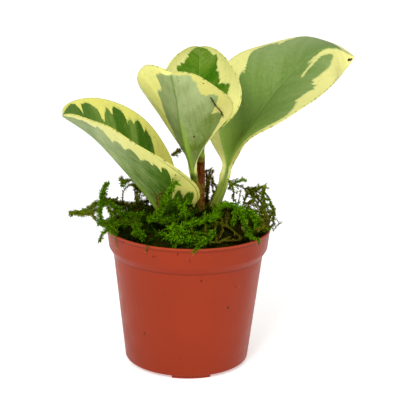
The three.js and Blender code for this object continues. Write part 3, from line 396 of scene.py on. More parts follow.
# Moss strands that stand out of the mat: tone (0 bright green, 0.35 green, 0.65 olive, 1 brown),
# the radius of the brush of leaflets at both ends, and its points
STRANDS = {
    "left_upright": [0.3, 2.2, 1.9, [[-52, -13, 101], [-52.5, -14, 109], [-51, -14, 112.5],
        [-49.5, -14, 116]]],
    "left_spike": [0.6, 2.9, 1.1, [[-48, -11, 103], [-55, -12, 103.5], [-58, -12, 101], [-61, -12, 99],
        [-65, -12, 97.3], [-72.5, -12, 96.4]]],
    "left_spike_low": [0.6, 1.8, 1.2, [[-53, -13, 100], [-59, -13, 97.5], [-63, -13, 96],
        [-67, -13, 96.2]]],
    "left_spur": [0.8, 1.0, 0.7, [[-59, -14, 98.5], [-57.5, -15, 95.5], [-56, -16, 93]]],
    "left_outer": [0.2, 1.6, 1.4, [[-54, -14, 105], [-53, -16, 101.5], [-53.5, -17, 97], [-52.5, -18, 94.5],
        [-54, -18, 92], [-50.5, -18, 91]]],
    "left_over_rim": [0.35, 1.6, 1.8, [[-52, -18, 94], [-48.5, -21, 91.5], [-45.5, -25, 90],
        [-42.5, -29, 89]]],
    "left_hanging": [0.4, 1.3, 0.8, [[-44, -22, 92.5], [-49, -24, 89.5], [-51.5, -25, 86.5],
        [-53, -25.5, 82.7]]],
    "left_ridge": [0.75, 1.9, 2.2, [[-51.5, -10, 105], [-48.5, -4, 102], [-45, 2, 100], [-41, 6, 97.5],
        [-36.5, 9, 97], [-29, 10, 96]]],
    "left_diagonal": [0.3, 2.0, 2.8, [[-50.5, -13, 105.5], [-47, -13, 102.5], [-43.5, -13, 99.5],
        [-40, -12, 96], [-35, -11, 95], [-28, -14, 95.5]]],
    "left_thin": [0.5, 1.5, 1.3, [[-49, -14, 102], [-46.5, -16, 96.5], [-45, -18, 92]]],
    "left_low": [0.3, 2.0, 2.4, [[-50.5, -18, 93.5], [-46, -17, 93], [-42, -17, 92], [-34, -18, 92.5],
        [-28, -23, 92]]],
    "left_stray": [0.75, 1.1, 1.0, [[-11, -8, 132.8], [-8, -8, 134.8], [-5.3, -8, 136.3]]],
    "left_fibre": [1.0, 0.2, 0.2, [[-22.4, -46, 88], [-23.4, -45.8, 86.4], [-23.7, -45.6, 83]]],
    "left_fibre_pale": [0.55, 0.15, 0.15, [[-43.6, -27.3, 86.5], [-42.8, -28.8, 83], [-41.8, -29.4, 80]]],
    "left_loop": [0.75, 0.5, 0.6, [[-41.5, 4, 98], [-41, 2, 106], [-38.7, 0, 110.4], [-35, -2, 112.8],
        [-31.5, -3, 113], [-30.4, 0, 108.5], [-31.5, 6, 99]]],
    "left_thread": [0.5, 0.9, 0.9, [[-31.5, 4, 111], [-34, 1, 114.5], [-39, 0, 114.7], [-43.3, 0, 115.1]]],
    "left_hook": [0.35, 0.8, 1.1, [[-37, 0, 114.5], [-40, 0, 113.4], [-42.4, 0, 112], [-40.5, 0, 111]]],
    "left_clump": [0.65, 1.6, 1.8, [[-21, 7, 101], [-25, 5, 104.5], [-29.5, 5, 107.5], [-32.3, 5, 109],
        [-33.8, 5, 110.3]]],
    "left_prop": [0.8, 1.0, 1.0, [[-33, 6, 98], [-32.5, 5, 103], [-32, 5, 108]]],
    "bank_high": [0.45, 3.0, 3.0, [[-47, -8, 95], [-44, 4, 95], [-37, 14, 95], [-28, 20, 96]]],
    "bank_low": [0.4, 2.8, 3.0, [[-47, -14, 91], [-43, -4, 92], [-38, 5, 94], [-30, 10, 96]]],
    "back_left": [0.7, 2.6, 2.4, [[-38, 16, 92], [-30, 22, 95], [-20, 24, 98], [-10, 25, 98]]],
    "climbing_spray": [0.12, 2.4, 1.4, [[-22, -30, 99], [-18, -31, 102], [-15.8, -32, 105.5],
        [-14.4, -34, 110], [-12.3, -37, 114.5], [-10.3, -40, 119], [-6.5, -43, 125.5]]],
    "spray_foot": [0.15, 2.2, 1.6, [[-25, -27, 97.5], [-20, -29, 99], [-15, -28, 98.5], [-10, -24, 96.5]]],
    "dark_thread": [1.0, 0.5, 0.6, [[-20, -36, 117], [-18.4, -34, 112], [-18, -31, 108], [-18, -28, 101]]],
    "dark_loop": [1.0, 0.5, 0.6, [[-14, -37, 116], [-15.5, -37, 116.6], [-17, -36, 115], [-17, -34, 111.5],
        [-16, -32, 107]]],
    "foot_tuft_left": [0.15, 1.3, 1.8, [[-6.5, -36, 115], [-6, -34, 110.5], [-4.5, -31, 107],
        [-2, -27, 102], [0, -22, 97]]],
    "foot_tuft_right": [0.12, 1.1, 1.7, [[0, -33, 112], [-2, -31, 108], [-2.4, -29, 105], [0.5, -25, 101],
        [3, -20, 97]]],
    "foot_front": [0.15, 2.0, 2.6, [[5, -13, 99], [0, -20, 99.5], [-4, -25, 99.5], [-10, -27, 98.5],
        [-16, -27, 97]]],
    "mid_cover": [0.25, 1.8, 2.0, [[-18.5, -28, 101], [-13.7, -28, 102], [-9, -28, 103], [-4.2, -28, 104],
        [0.5, -27, 104], [4.7, -26, 102]]],
    "mid_cover_high": [0.25, 1.4, 1.6, [[-3, -23, 108], [1.6, -22, 105], [4, -22, 102.5]]],
    "front_mass": [0.04, 2.6, 2.0, [[-7, -27.5, 95.5], [-7.7, -34, 94.5], [-7.3, -38, 92.5],
        [-8.6, -41, 89.5], [-6, -43, 87.5]]],
    "front_mass_low": [0.06, 1.8, 1.6, [[-1, -40, 89], [-5, -40, 90.2], [-9, -38.5, 91.5],
        [-13, -37.5, 90.5]]],
    "front_mass_high": [0.05, 2.0, 2.0, [[2, -37, 91.5], [-2.5, -36.5, 92.8], [-7, -35, 94],
        [-12, -30.5, 94]]],
    "front_corner": [0.1, 1.6, 1.6, [[0, -42, 87.5], [2, -39, 90.5], [5, -38, 91], [8, -39, 89.3]]],
    "left_patch": [0.15, 2.0, 2.2, [[-31, -20.5, 93], [-31, -27, 91.5], [-29.5, -31, 90],
        [-26, -34.5, 88.5]]],
    "mid_left": [0.35, 2.4, 2.4, [[-38, -4, 94], [-33, -7, 95], [-29, -11, 95.5], [-25, -18, 95.5]]],
    "front_arch": [0.03, 2.0, 2.2, [[-5.5, -34.5, 94.5], [-1, -32.5, 96], [4.6, -30.2, 97],
        [9.6, -27.3, 98], [14.3, -22, 98.3], [17.3, -18, 99.8], [18.3, -14.7, 102], [19.6, -13, 103.8],
        [24, -11, 103.6], [28, -10, 102.5], [32, -10, 100.5], [36, -8, 96]]],
    "front_hanging": [0.1, 1.6, 1.2, [[16, -33, 93.5], [14, -38, 92], [11, -43, 90.3], [7.8, -48, 89.2],
        [5.4, -52, 87.4]]],
    "pale_line": [0.25, 0.45, 0.45, [[2, -32.8, 95.8], [2.7, -37.5, 94], [6.3, -39, 93.6],
        [9.8, -38.5, 93.2], [14, -37.5, 91.8]]],
    "twist_a": [0.8, 0.8, 0.8, [[10.6, -26.8, 95.4], [10.9, -35, 93], [12.4, -38.3, 90.5],
        [13, -41, 87.5]]],
    "twist_b": [0.72, 1.0, 1.0, [[14, -21.4, 96], [19, -25, 96], [22, -28, 95.2], [25.7, -30, 94],
        [28.7, -31.6, 91.6], [32, -31.6, 88.8]]],
    "twist_c": [0.66, 0.8, 0.8, [[32.2, -31, 88.6], [29.5, -33.7, 88], [24, -36, 88.4],
        [20.5, -36.7, 88.6]]],
    "twist_d": [0.7, 0.8, 0.8, [[12, -40, 88.2], [18.7, -38.5, 88], [22, -36.3, 89], [25, -33.5, 89.6]]],
    "twist_e": [0.85, 0.9, 0.8, [[18.6, -13.4, 99], [20.3, -21.2, 96.5], [20.7, -30.3, 93.3],
        [19, -35.6, 90]]],
    "twist_f": [0.75, 0.8, 0.8, [[15, -18, 97.4], [16.8, -26, 95.4], [15.7, -33, 92.8], [17.5, -38, 89]]],
    "twist_g": [0.9, 0.9, 0.9, [[23, -9, 99], [24.7, -14, 96.5], [23, -22, 95.4], [25, -26, 92.8]]],
    "right_brush": [0.5, 1.0, 1.0, [[23, 4, 116], [25.7, 4, 112.5], [27.4, 4, 109], [27.5, 4, 102]]],
    "right_blades": [0.3, 1.6, 1.0, [[24, 5, 109], [27.6, 5, 113], [31.6, 5, 114.8], [35, 5, 115.3]]],
    "right_bridge": [0.85, 1.0, 0.9, [[22, 7, 115], [29, 8, 111.6], [32, 8, 110.3], [34.5, 8, 109],
        [38.5, 8, 109.7]]],
    "right_web_top": [0.5, 1.2, 1.1, [[34, 9, 98], [35.4, 8, 104], [38, 8, 108.6], [42, 7, 109.7],
        [45.6, 5, 111.5], [46.3, 3, 109], [46, 1, 106], [47, -1, 102], [47, -4, 96]]],
    "right_web_outer": [0.45, 1.2, 1.1, [[46, 0, 105.5], [49.6, -1, 104], [51.8, -2, 100.4],
        [52.8, -3, 97.4], [52.4, -4, 93.6], [52.2, -5.5, 90], [49, -9, 88.8]]],
    "right_web_mid": [0.75, 1.3, 1.2, [[35, 5, 94], [37.6, 7, 100], [40, 7, 102.6], [38.4, 8, 106],
        [35, 9, 107.2]]],
    "right_web_cross": [0.8, 1.2, 1.2, [[38, 9, 108], [42, 6, 104.3], [44.7, 4, 101.3], [45.8, 2, 97.8],
        [47, 0, 93]]],
    "right_pale": [0.4, 1.0, 1.2, [[33, 0, 96], [37, -1, 97], [40.4, -3, 97], [44.4, -6, 95.6]]],
    "right_hook": [0.6, 0.9, 0.8, [[44, -2, 94], [48.3, -3, 94.6], [51, -3, 95.7], [51.2, -3, 98.4]]],
    "right_stalk": [0.95, 0.45, 0.45, [[32.2, 8, 109], [31.4, 9, 103], [30, 10, 96]]],
    "frond_top": [0.06, 2.0, 1.8, [[24, -8, 102], [28, -9, 102], [31.3, -10, 100.8], [35, -10, 99.5],
        [39, -12, 96.7]]],
    "frond_fall": [0.05, 1.8, 1.2, [[30, -13, 101.2], [31.6, -16, 98.6], [33.3, -20, 96], [35, -24, 93.8],
        [37, -28, 90.6]]],
    "frond_right": [0.12, 1.8, 1.4, [[35.6, -12, 100.5], [39.2, -15, 98.4], [40.8, -18, 95.5],
        [41.2, -21, 91.5]]],
    "frond_outer": [0.2, 1.6, 1.3, [[39.4, -12, 98.3], [43, -14, 95], [45.4, -16, 92.5], [47, -18, 89.8]]],
    "frond_inner": [0.15, 1.6, 1.0, [[28, -14, 101], [28, -19, 97.8], [26.8, -22.5, 94.5]]],
    "rim_stick": [1.0, 0.35, 0.3, [[51.8, -8, 86.5], [54.5, -8, 89.8], [57.3, -8, 92.5]]],
    "rim_thread": [0.9, 0.15, 0.15, [[54.5, -8, 89.8], [55.5, -8, 92], [53.6, -8, 94.6]]],
    "right_thread": [0.5, 0.4, 0.3, [[45.5, 5, 111.7], [47.8, 5, 113.5]]],
    "rim_tip": [0.15, 1.3, 0.9, [[34, -31, 91.2], [38.3, -33, 90], [43, -34.5, 88.2]]],
    "right_brown": [0.85, 2.2, 2.0, [[41, -23, 91], [45, -17, 92.5], [47.5, -10, 94], [48.5, -5, 94.5]]],
    "right_brown_high": [0.8, 2.2, 1.8, [[40, 0, 97], [44.5, -1, 96.5], [48, -4, 94], [49, -9, 91]]],
    "stem_heap": [0.9, 1.4, 1.0, [[13.6, 1, 98], [14.6, 1, 103], [15.7, 1, 107], [16.8, 1, 110.5]]],
    "stem_heap_low": [0.85, 1.6, 1.4, [[11.8, -2, 98], [15.5, -2, 100.2], [19.7, -2, 101.6],
        [24.1, -2, 101.2]]],
    "stem_tuft": [0.95, 1.8, 1.3, [[11.5, 9, 95], [11.3, 8, 103.8], [11.8, 7, 110.5], [12.7, 6, 118.2]]],
    "stem_tuft_left": [1.0, 1.0, 0.9, [[9.8, 7, 120.8], [10.4, 8, 114], [10.6, 8, 106], [10.8, 9, 98]]],
    "stem_tuft_arch": [0.85, 1.1, 1.0, [[9.6, 7, 119.2], [11.2, 7, 120.6], [13.4, 7, 121],
        [14.6, 7, 119.2]]],
    "stem_tuft_top": [1.0, 0.8, 0.8, [[13, 6, 120.4], [12, 6, 118.4], [11.4, 7, 113.7], [10.3, 8, 107.6],
        [11, 9, 98]]],
    "stem_tuft_fall": [1.0, 0.9, 0.7, [[12.9, 6, 118.4], [14.2, 6, 114], [17, 6, 110.2], [18.4, 5, 108.2]]],
    "stem_tuft_right": [0.95, 0.9, 1.0, [[14.5, 6, 117.2], [14, 7, 111.8], [15, 8, 105.8], [14.3, 9, 96]]],
}

# Leaflets of the moss: their turn from one to the next, width, where along them they are widest
# and how far that part rises, how far the tip lifts, how much they twist, the mean and spread of
# their lean in degrees, and how much their size, painted shade and tone vary
GOLDEN_TURN = 2.399963
LEAFLET_WIDTH = 0.5
LEAFLET_WIDEST, LEAFLET_KEEL = 0.42, 0.14
LEAFLET_TIP_LIFT = 0.1
LEAFLET_TWIST = 0.3
LEAFLET_LEAN = (50, 15)
LEAFLET_SIZES = (0.6, 1.35)
LEAFLET_SHADES = (0.25, 1.35)
TONE_SPREAD = 0.09
LEAFLET_FACES = np.array([[0, 2, 1], [0, 1, 3], [0, 3, 2], [1, 2, 3]])

# Strands: the stalk inside, which is painted dark as shade in the brush's core, the least radius
# of the brush and number of leaflets, the knobs of the brush, large and fine, and the thickest
# strand without twigs
STALK_RADIUS = 0.4
LEAST_BRUSH = 0.3
LEAST_LEAFLETS = 6
KNOB, KNOB_PITCH, KNOB_TWIST = 0.28, 4.5, 0.6
FINE_KNOB, FINE_KNOB_PACE = 0.6, 4.4
THREAD_RADIUS = 0.85

# Side twigs of a strand: how unevenly they stand round it, how far they lean forward, their
# lengths, bend and lift, and how bright they are
TWIG_FAN = 0.9
TWIG_LEANS = (0.3, 1.1)
TWIG_LENGTHS = (0.55, 1.25)
TWIG_BEND, TWIG_LIFT = 0.16, 0.15
TWIG_TONE_SPREAD = 0.07
TWIG_LIGHTS = (0.45, 1.4)

# Mat: its body, and the loose strands that wander over it
MAT_SIDES = 120
MAT_UNDER_ROWS, MAT_TOP_ROWS = 20, 46
MAT_INNER, MAT_OUTER = 0.05, 0.985
MAT_SINK = 1.5
MAT_LUMP, MAT_LUMP_PITCH = 1.2, 11.0
MAT_COVER = 1.0
MAT_STRANDS = 200
MAT_REACH = 45
MAT_LEAF = 1.7
MAT_LENGTHS = (12, 26)
MAT_RISES = (-1, 3)
MAT_LIFTS = (-2.4, 0.8)
MAT_SIZES = (0.7, 1.3)
MAT_TWIGS = {"pitch": 3.2, "length": 3.6, "radius": 0.7, "leaf": 1.5}
MAT_EDGE_GAP = 1.5
WANDER_STEPS = 5
WANDER_TURN = 0.5

# The mat's bright front and its two hollows, each as middle and spread in x and y, and where
# and how softly its brown right side and the outermost part of it begin. The front is greener
# and painted light, the hollows painted shade.
MAT_FRONT = (-3, -30, 17, 14)
MAT_LEFT_HOLLOW = (-24, -28, 13, 15)
MAT_RIGHT_HOLLOW = (26, -36, 15, 8)
MAT_RIGHT = (14, 6)
MAT_OUTER_RIGHT = (34, 4)

# The mat's tone and its painted light, and how much each of these places changes them
MAT_TONE, FRONT_TONE, RIGHT_TONE, OUTER_TONE = 0.36, 0.28, 0.4, 0.1
MAT_PAINTED_LIGHT, FRONT_PAINTED_LIGHT, LEFT_PAINTED_SHADE, RIGHT_PAINTED_SHADE = 0.22, 0.36, 0.3, 0.24

# Moss pieces made of the strands whose names start with the given words: how slim they are, how
# dense and how long their leaflets, the pitch, length and radius of their twigs, and where given,
# their painted light, low on the bank as painted shade, and the radius of their stalk
MOSS_PIECES = {
    "moss_bank": dict(seed=35, starts=("bank", "back", "mid"), slim=0.7, cover=1.3, leaf=1.7,
                      pitch=2.4, length=3.4, radius=0.7, light=0.18),
    "moss_left": dict(seed=31, starts=("left", "dark"), slim=1.15, cover=1.5, leaf=2.1,
                      pitch=2.2, length=3.0, radius=0.9, light=0.95, core=0.7),
    "moss_front": dict(seed=32, starts=("climbing", "spray", "foot", "front"), slim=0.85, cover=0.85,
                       leaf=3.0, pitch=1.9, length=3.8, radius=0.9),
    "moss_twist": dict(seed=34, starts=("pale", "twist"), slim=0.6, cover=1.8, leaf=0.9,
                       pitch=6.0, length=2.2, radius=0.4, light=1.5),
    "moss_fronds": dict(seed=36, starts=("frond",), slim=0.85, cover=0.9, leaf=2.6,
                        pitch=1.9, length=3.6, radius=0.8, light=1.1),
    "moss_right": dict(seed=33, starts=("right", "rim", "stem"), slim=0.7, cover=1.8, leaf=1.6,
                       pitch=1.8, length=3.2, radius=0.65, core=0.6, with_tangle=True),
}

# Tangle at the right: its twigs, and how many of them lie deeper and are painted dark as shade
TANGLE_TWIGS = 54
TANGLE_SPANS = (4, 12)
TANGLE_RADII = (0.4, 0.85)
SHADED_TWIGS = 24
SHADED_TWIG_DEPTH = 4

# Moss paints: bright green, green, olive and brown
MOSS_PAINTS = {
    "moss": [0x76be04, 0x60a000, 0x94981c, 0x80682a],
    "moss_bud": [0xbccc48, 0xccd458, 0xd0cc60, 0xaca444],
    "dry_twig": [0x6c6a20, 0x6a5a20, 0x60481c, 0x4a3010],
}

# Pale buds: the middle, and how far the tip lies from it across and upwards
BUDS = [[-33, 5, 104, 1.2, -1.4], [-33.6, 5, 101.8, 0.8, 0.9], [32.5, 5, 115.6, 1.4, 0.4],
    [45.2, -4, 95.6, 0.9, 0.3], [35.1, -16, 94.5, 0.5, -1.6], [33.2, -20, 91.5, 0.9, -1.0],
    [29.6, 6, 107, 0.4, 1.2], [-42.5, 0, 115, 1.0, 0.2], [46.5, 4, 111.8, 0.9, 0.7]]


# Curves and numbers

def spline(points, at):
    """A uniform Catmull-Rom curve through the points, at shares of its length from 0 to 1."""
    knots = np.asarray(points, float)
    knots = np.vstack([2 * knots[:1] - knots[1:2], knots, 2 * knots[-1:] - knots[-2:-1]])
    place = np.clip(np.asarray(at, float), 0, 1) * (len(points) - 1)
    index = np.minimum(place.astype(int), len(points) - 2)
    u = (place - index)[..., None]
    a, b, c, d = knots[index], knots[index + 1], knots[index + 2], knots[index + 3]
    return 0.5 * (2 * b + (c - a) * u + (2 * a - 5 * b + 4 * c - d) * u ** 2
                  + (3 * b - a - 3 * c + d) * u ** 3)


def unit(vectors):
    return vectors / np.maximum(np.linalg.norm(vectors, axis=-1, keepdims=True), 1e-9)


def smooth(value):
    value = np.clip(value, 0, 1)
    return value * value * (3 - 2 * value)


def scallops(pairs, at):
    """A line through [place, value] pairs that is round at its peaks and sharp in its hollows."""
    pairs = np.asarray(pairs, float)
    at = np.clip(at, pairs[0, 0], pairs[-1, 0])
    index = np.clip(np.searchsorted(pairs[:, 0], at, side="right") - 1, 0, len(pairs) - 2)
    start, end = pairs[index], pairs[index + 1]
    u = (at - start[..., 0]) / (end[..., 0] - start[..., 0])
    rising = np.sin(0.5 * np.pi * u)
    falling = 1 - np.cos(0.5 * np.pi * u)
    eased = np.where(end[..., 1] > start[..., 1], rising, falling)
    return start[..., 1] + (end[..., 1] - start[..., 1]) * (0.7 * eased + 0.3 * u)


def turns(count):
    return np.linspace(0, 2 * np.pi, count, endpoint=False)


def around(turn, one, other):
    """Directions that are turned from one way towards the other."""
    turn = np.asarray(turn)[..., None]
    return np.cos(turn) * one + np.sin(turn) * other


def ring(turn, radius, height):
    """Points round the pot's axis. The height is a number, or is worked out from x and y."""
    x = radius * np.cos(turn)
    y = radius * np.sin(turn)
    z = height(x, y) if callable(height) else height
    return np.stack([x, y, z + 0 * x], -1)


def span_of(points):
    return np.linalg.norm(np.diff(points[:, :3], axis=0), axis=1).sum()


def line_frames(points, shares):
    """Points on a line, its direction there, and two directions across it."""
    dense = spline(points, np.linspace(0, 1, 12 * len(points)))
    length = np.concatenate([[0], np.cumsum(np.linalg.norm(np.diff(dense[:, :3], axis=0), axis=1))])
    at = np.interp(shares, length / length[-1], np.linspace(0, 1, len(dense)))
    step = 0.5 / len(dense)
    ahead = spline(points, np.minimum(at + step, 1))[..., :3]
    behind = spline(points, np.maximum(at - step, 0))[..., :3]
    along = unit(ahead - behind)
    chord = unit(dense[-1, :3] - dense[0, :3])
    aside = np.array([chord[1], -chord[0], 0.35]) if abs(chord[2]) < 0.9 else np.array([1.0, 0.2, 0])
    one = unit(np.cross(along, aside))
    return spline(points, at), along, one, np.cross(along, one), length[-1]


# Meshes

class Pile:
    """The points, triangles and values of one piece, gathered part by part."""

    def __init__(self):
        self.points = []
        self.triangles = []
        self.values = {}
        self.count = 0

    def add(self, points, triangles, **values):
        points = np.asarray(points, float).reshape(-1, 3)
        self.points.append(points)
        self.triangles.append(np.asarray(triangles, int).reshape(-1, 3) + self.count)
        for name, value in values.items():
            full = np.broadcast_to(np.asarray(value, float).ravel(), (len(points),))
            self.values.setdefault(name, []).append(full)
        self.count += len(points)


def linked(name, data):
    """A new object in the scene."""
    made = bpy.data.objects.new(name, data)
    bpy.context.scene.collection.objects.link(made)
    return made


def pile_mesh(name, pile):
    points = np.vstack(pile.points) * MM
    triangles = np.vstack(pile.triangles)
    mesh = bpy.data.meshes.new(name)
    mesh.vertices.add(len(points))
    mesh.vertices.foreach_set("co", points.astype(np.float32).ravel())
    mesh.loops.add(triangles.size)
    mesh.loops.foreach_set("vertex_index", triangles.astype(np.int32).ravel())
    mesh.polygons.add(len(triangles))
    mesh.polygons.foreach_set("loop_start", np.arange(0, triangles.size, 3, dtype=np.int32))
    mesh.update(calc_edges=True)
    mesh.polygons.foreach_set("use_smooth", np.ones(len(triangles), bool))
    for key, parts in pile.values.items():
        layer = mesh.attributes.new(key, "FLOAT", "POINT")
        layer.data.foreach_set("value", np.concatenate(parts).astype(np.float32))
    return mesh


def mesh_piece(name, pile, look, node):
    """A piece from a pile, riding on the root body in place of a CAD node."""
    mesh = pile_mesh(name, pile)
    mesh.materials.append(look)
    piece = linked(name, mesh)
    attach(piece, "root")
    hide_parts(node)
    return piece


def combine(piece, operation, pile):
    """Joins the closed parts of a pile to a piece, or takes them out of it."""
    tool = linked("tool", pile_mesh("tool", pile))
    modifier = piece.modifiers.new("tool", "BOOLEAN")
    modifier.operation = operation
    modifier.solver = "EXACT"
    modifier.object = tool
    graph = bpy.context.evaluated_depsgraph_get()
    made = bpy.data.meshes.new_from_object(piece.evaluated_get(graph))
    piece.modifiers.clear()
    old = piece.data
    piece.data = made
    made.name = piece.name
    bpy.data.meshes.remove(old)
    bpy.data.objects.remove(tool)


def skin(rings):
    """Points and triangles of a closed skin through rings, with a fan at each end."""
    rows, count = rings.shape[:2]
    points = np.vstack([rings.reshape(-1, 3), rings[0].mean(0), rings[-1].mean(0)])
    i, j = np.meshgrid(np.arange(rows - 1), np.arange(count), indexing="ij")
    a = i * count + j
    b = i * count + (j + 1) % count
    c = b + count
    d = a + count
    first = np.arange(count)
    following = (first + 1) % count
    last = (rows - 1) * count
    low = np.full(count, rows * count)
    triangles = np.vstack([
        np.stack([a, b, c], -1).reshape(-1, 3),
        np.stack([a, c, d], -1).reshape(-1, 3),
        np.stack([low, following, first], -1),
        np.stack([low + 1, last + first, last + following], -1),
    ])
    corners = points[triangles]
    volume = np.einsum("ij,ij->i", corners[:, 0], np.cross(corners[:, 1], corners[:, 2])).sum()
    if volume < 0:
        triangles = triangles[:, ::-1]
    return points, triangles


def tube(pile, points, sides=6, step=1.2, **values):
    """A round strand along points [x, y, z, radius]."""
    points = np.asarray(points, float)
    rows = max(3, int(span_of(points) / step) + 1)
    place, _, one, other, _ = line_frames(points, np.linspace(0, 1, rows))
    radius = np.maximum(place[:, 3], 0.05)[:, None, None]
    rings = place[:, None, :3] + radius * around(turns(sides)[None], one[:, None], other[:, None])
    pile.add(*skin(rings), **values)


# Materials

def tint(hex_colour):
    """A colour given as on a screen, in the linear values that shaders take."""
    parts = [(hex_colour >> shift & 255) / 255 for shift in (16, 8, 0)]
    return [p / 12.92 if p <= 0.04045 else ((p + 0.055) / 1.055) ** 2.4 for p in parts] + [1.0]


def per_mm(scale):
    """A texture scale for object coordinates, which are in metres."""
    return scale / MM


class Term:
    """What a node of a material gives, to reckon with in later nodes."""

    def __init__(self, look, socket):
        self.look = look
        self.socket = socket

    def math(self, operation, *others):
        return self.look.node("Math", dict(enumerate([self, *others])), operation=operation)

    def __add__(self, other):
        return self.math("ADD", other)

    def __sub__(self, other):
        return self.math("SUBTRACT", other)

    def __mul__(self, other):
        return self.math("MULTIPLY", other)

    def __abs__(self):
        return self.math("ABSOLUTE")

    def clamped(self):
        """The same sum or product, kept between 0 and 1."""
        self.socket.node.use_clamp = True
        return self

    def step(self, start, full):
        """A soft step from 0 where the value is start to 1 where it is full."""
        return self.look.node("MapRange", {0: self, 1: start, 2: full, 3: 0.0, 4: 1.0},
                              interpolation_type="SMOOTHSTEP")

    def spread(self, low, high, to_low=0.0, to_high=1.0):
        return self.look.node("MapRange", {0: self, 1: low, 2: high, 3: to_low, 4: to_high})


class Look:
    """A material, with its nodes made one at a time."""

    def __init__(self, name, **constants):
        self.material = bpy.data.materials.new(name)
        self.material.use_nodes = True
        self.tree = self.material.node_tree
        self.shader = self.tree.nodes["Principled BSDF"]
        for socket, value in constants.items():
            self.shader.inputs[socket.replace("_", " ")].default_value = value

    def feed(self, socket, value):
        if isinstance(value, Term):
            self.tree.links.new(value.socket, socket)
        else:
            socket.default_value = value

    def node(self, kind, inputs, output=0, **settings):
        made = self.tree.nodes.new("ShaderNode" + kind)
        for key, value in settings.items():
            setattr(made, key, value)
        for key, value in inputs.items():
            self.feed(made.inputs[key], value)
        return Term(self, made.outputs[output])

    def value(self, name):
        return self.node("Attribute", {}, output=2, attribute_name=name)

    def place(self):
        return self.node("TexCoord", {}, output=3)

    def drawn_out(self, squash):
        """The place, for streaks that run up and down."""
        return self.node("Mapping", {"Vector": self.place(), "Scale": (1, 1, squash)})

    def vector(self, x, y, z=0.0):
        return self.node("CombineXYZ", {0: x, 1: y, 2: z})

    def noise(self, vector, scale, detail=2.0, roughness=0.5):
        return self.node("TexNoise", {"Vector": vector, "Scale": scale, "Detail": detail,
                                      "Roughness": roughness})

    def mix(self, factor, a, b):
        return self.node("Mix", {0: factor, 6: a, 7: b}, output=2, data_type="RGBA")

    def over(self, colour, paint, share):
        """A colour with a share of a paint over it."""
        return self.mix(share, colour, tint(paint))

    def ramp(self, factor, stops):
        made = self.node("ValToRGB", {0: factor})
        elements = made.socket.node.color_ramp.elements
        while len(elements) < len(stops):
            elements.new(0.5)
        for element, (position, colour) in zip(elements, stops):
            element.position = position
            element.color = tint(colour)
        return made

    def bump(self, height, strength, distance):
        return self.node("Bump", {"Height": height, "Strength": strength, "Distance": distance * MM})

    def finish(self, colour, roughness=None, normal=None):
        for socket, value in (("Base Color", colour), ("Roughness", roughness), ("Normal", normal)):
            if value is not None:
                self.feed(self.shader.inputs[socket], value)
        return self.material


# Camera, light and floor

def make_camera():
    data = bpy.data.cameras.new("camera")
    data.sensor_width = SENSOR
    data.lens = FOCAL_PIXELS / IMAGE_SIDE * SENSOR
    camera = linked("camera", data)
    turn = Matrix.Rotation(math.radians(90 - CAMERA_PITCH), 4, "X")
    turn = turn @ Matrix.Rotation(math.radians(CAMERA_ROLL), 4, "Z")
    camera.matrix_world = Matrix.Translation([x * MM for x in CAMERA_PLACE]) @ turn
    bpy.context.scene.camera = camera


def make_studio():
    world = bpy.data.worlds.new("studio")
    bpy.context.scene.world = world
    world.use_nodes = True
    tree = world.node_tree
    way = tree.nodes.new("ShaderNodeTexCoord").outputs["Generated"]
    parts = tree.nodes.new("ShaderNodeSeparateXYZ")
    tree.links.new(way, parts.inputs[0])
    rise = tree.nodes.new("ShaderNodeMapRange")
    tree.links.new(parts.outputs["Z"], rise.inputs[0])
    for socket, value in enumerate((0.0, SKY_RISE, SKY_LOW, SKY_HIGH), start=1):
        rise.inputs[socket].default_value = value
    background = tree.nodes["Background"]
    background.inputs["Color"].default_value = (1, 1, 1, 1)
    tree.links.new(rise.outputs[0], background.inputs["Strength"])
    for name, (place, watts) in LAMPS.items():
        data = bpy.data.lights.new(name, "AREA")
        data.shape = "SQUARE"
        data.size = LAMP_SIDE
        data.energy = watts
        lamp = linked(name, data)
        lamp.location = place
        direction = Vector(LAMP_TARGET) - lamp.location
        lamp.rotation_euler = direction.to_track_quat("-Z", "Y").to_euler()
        lamp.visible_glossy = False
    bpy.context.scene.view_settings.view_transform = "Standard"
    bpy.context.scene.view_settings.look = "None"


def make_floor():
    look = Look("floor_paper", Roughness=0.9, Emission_Color=(1, 1, 1, 1))
    distance = look.node("VectorMath", {0: look.place()}, output=1, operation="LENGTH")
    glow = distance.spread(FLOOR_NEAR, FLOOR_FAR, FLOOR_GLOW, FLOOR_GLOW_FAR)
    look.feed(look.shader.inputs["Emission Strength"], glow)
    grain = look.noise(look.place(), PAPER_GRAIN, 3.0)
    mesh = bpy.data.meshes.new("floor")
    corners = [(x * FLOOR_REACH, y * FLOOR_REACH, 0) for x, y in ((-1, -1), (1, -1), (1, 1), (-1, 1))]
    mesh.from_pydata(corners, [], [(0, 1, 2, 3)])
    mesh.materials.append(look.finish(look.mix(grain, tint(0xf6f6f4), tint(0xfbfbfa))))
    floor = linked("floor", mesh)


# Pot

def rounded(points, radius, steps=3):
    """An outline with each inner corner turned into a short arc."""
    points = [np.asarray(p, float) for p in points]
    made = [points[0]]
    for before, corner, after in zip(points, points[1:], points[2:]):
        reach = min(radius, 0.45 * np.linalg.norm(before - corner), 0.45 * np.linalg.norm(after - corner))
        start = corner + unit(before - corner) * reach
        end = corner + unit(after - corner) * reach
        for t in np.linspace(0, 1, steps + 1):
            made.append((1 - t) ** 2 * start + 2 * t * (1 - t) * corner + t * t * end)
    made.append(points[-1])
    return np.array(made)


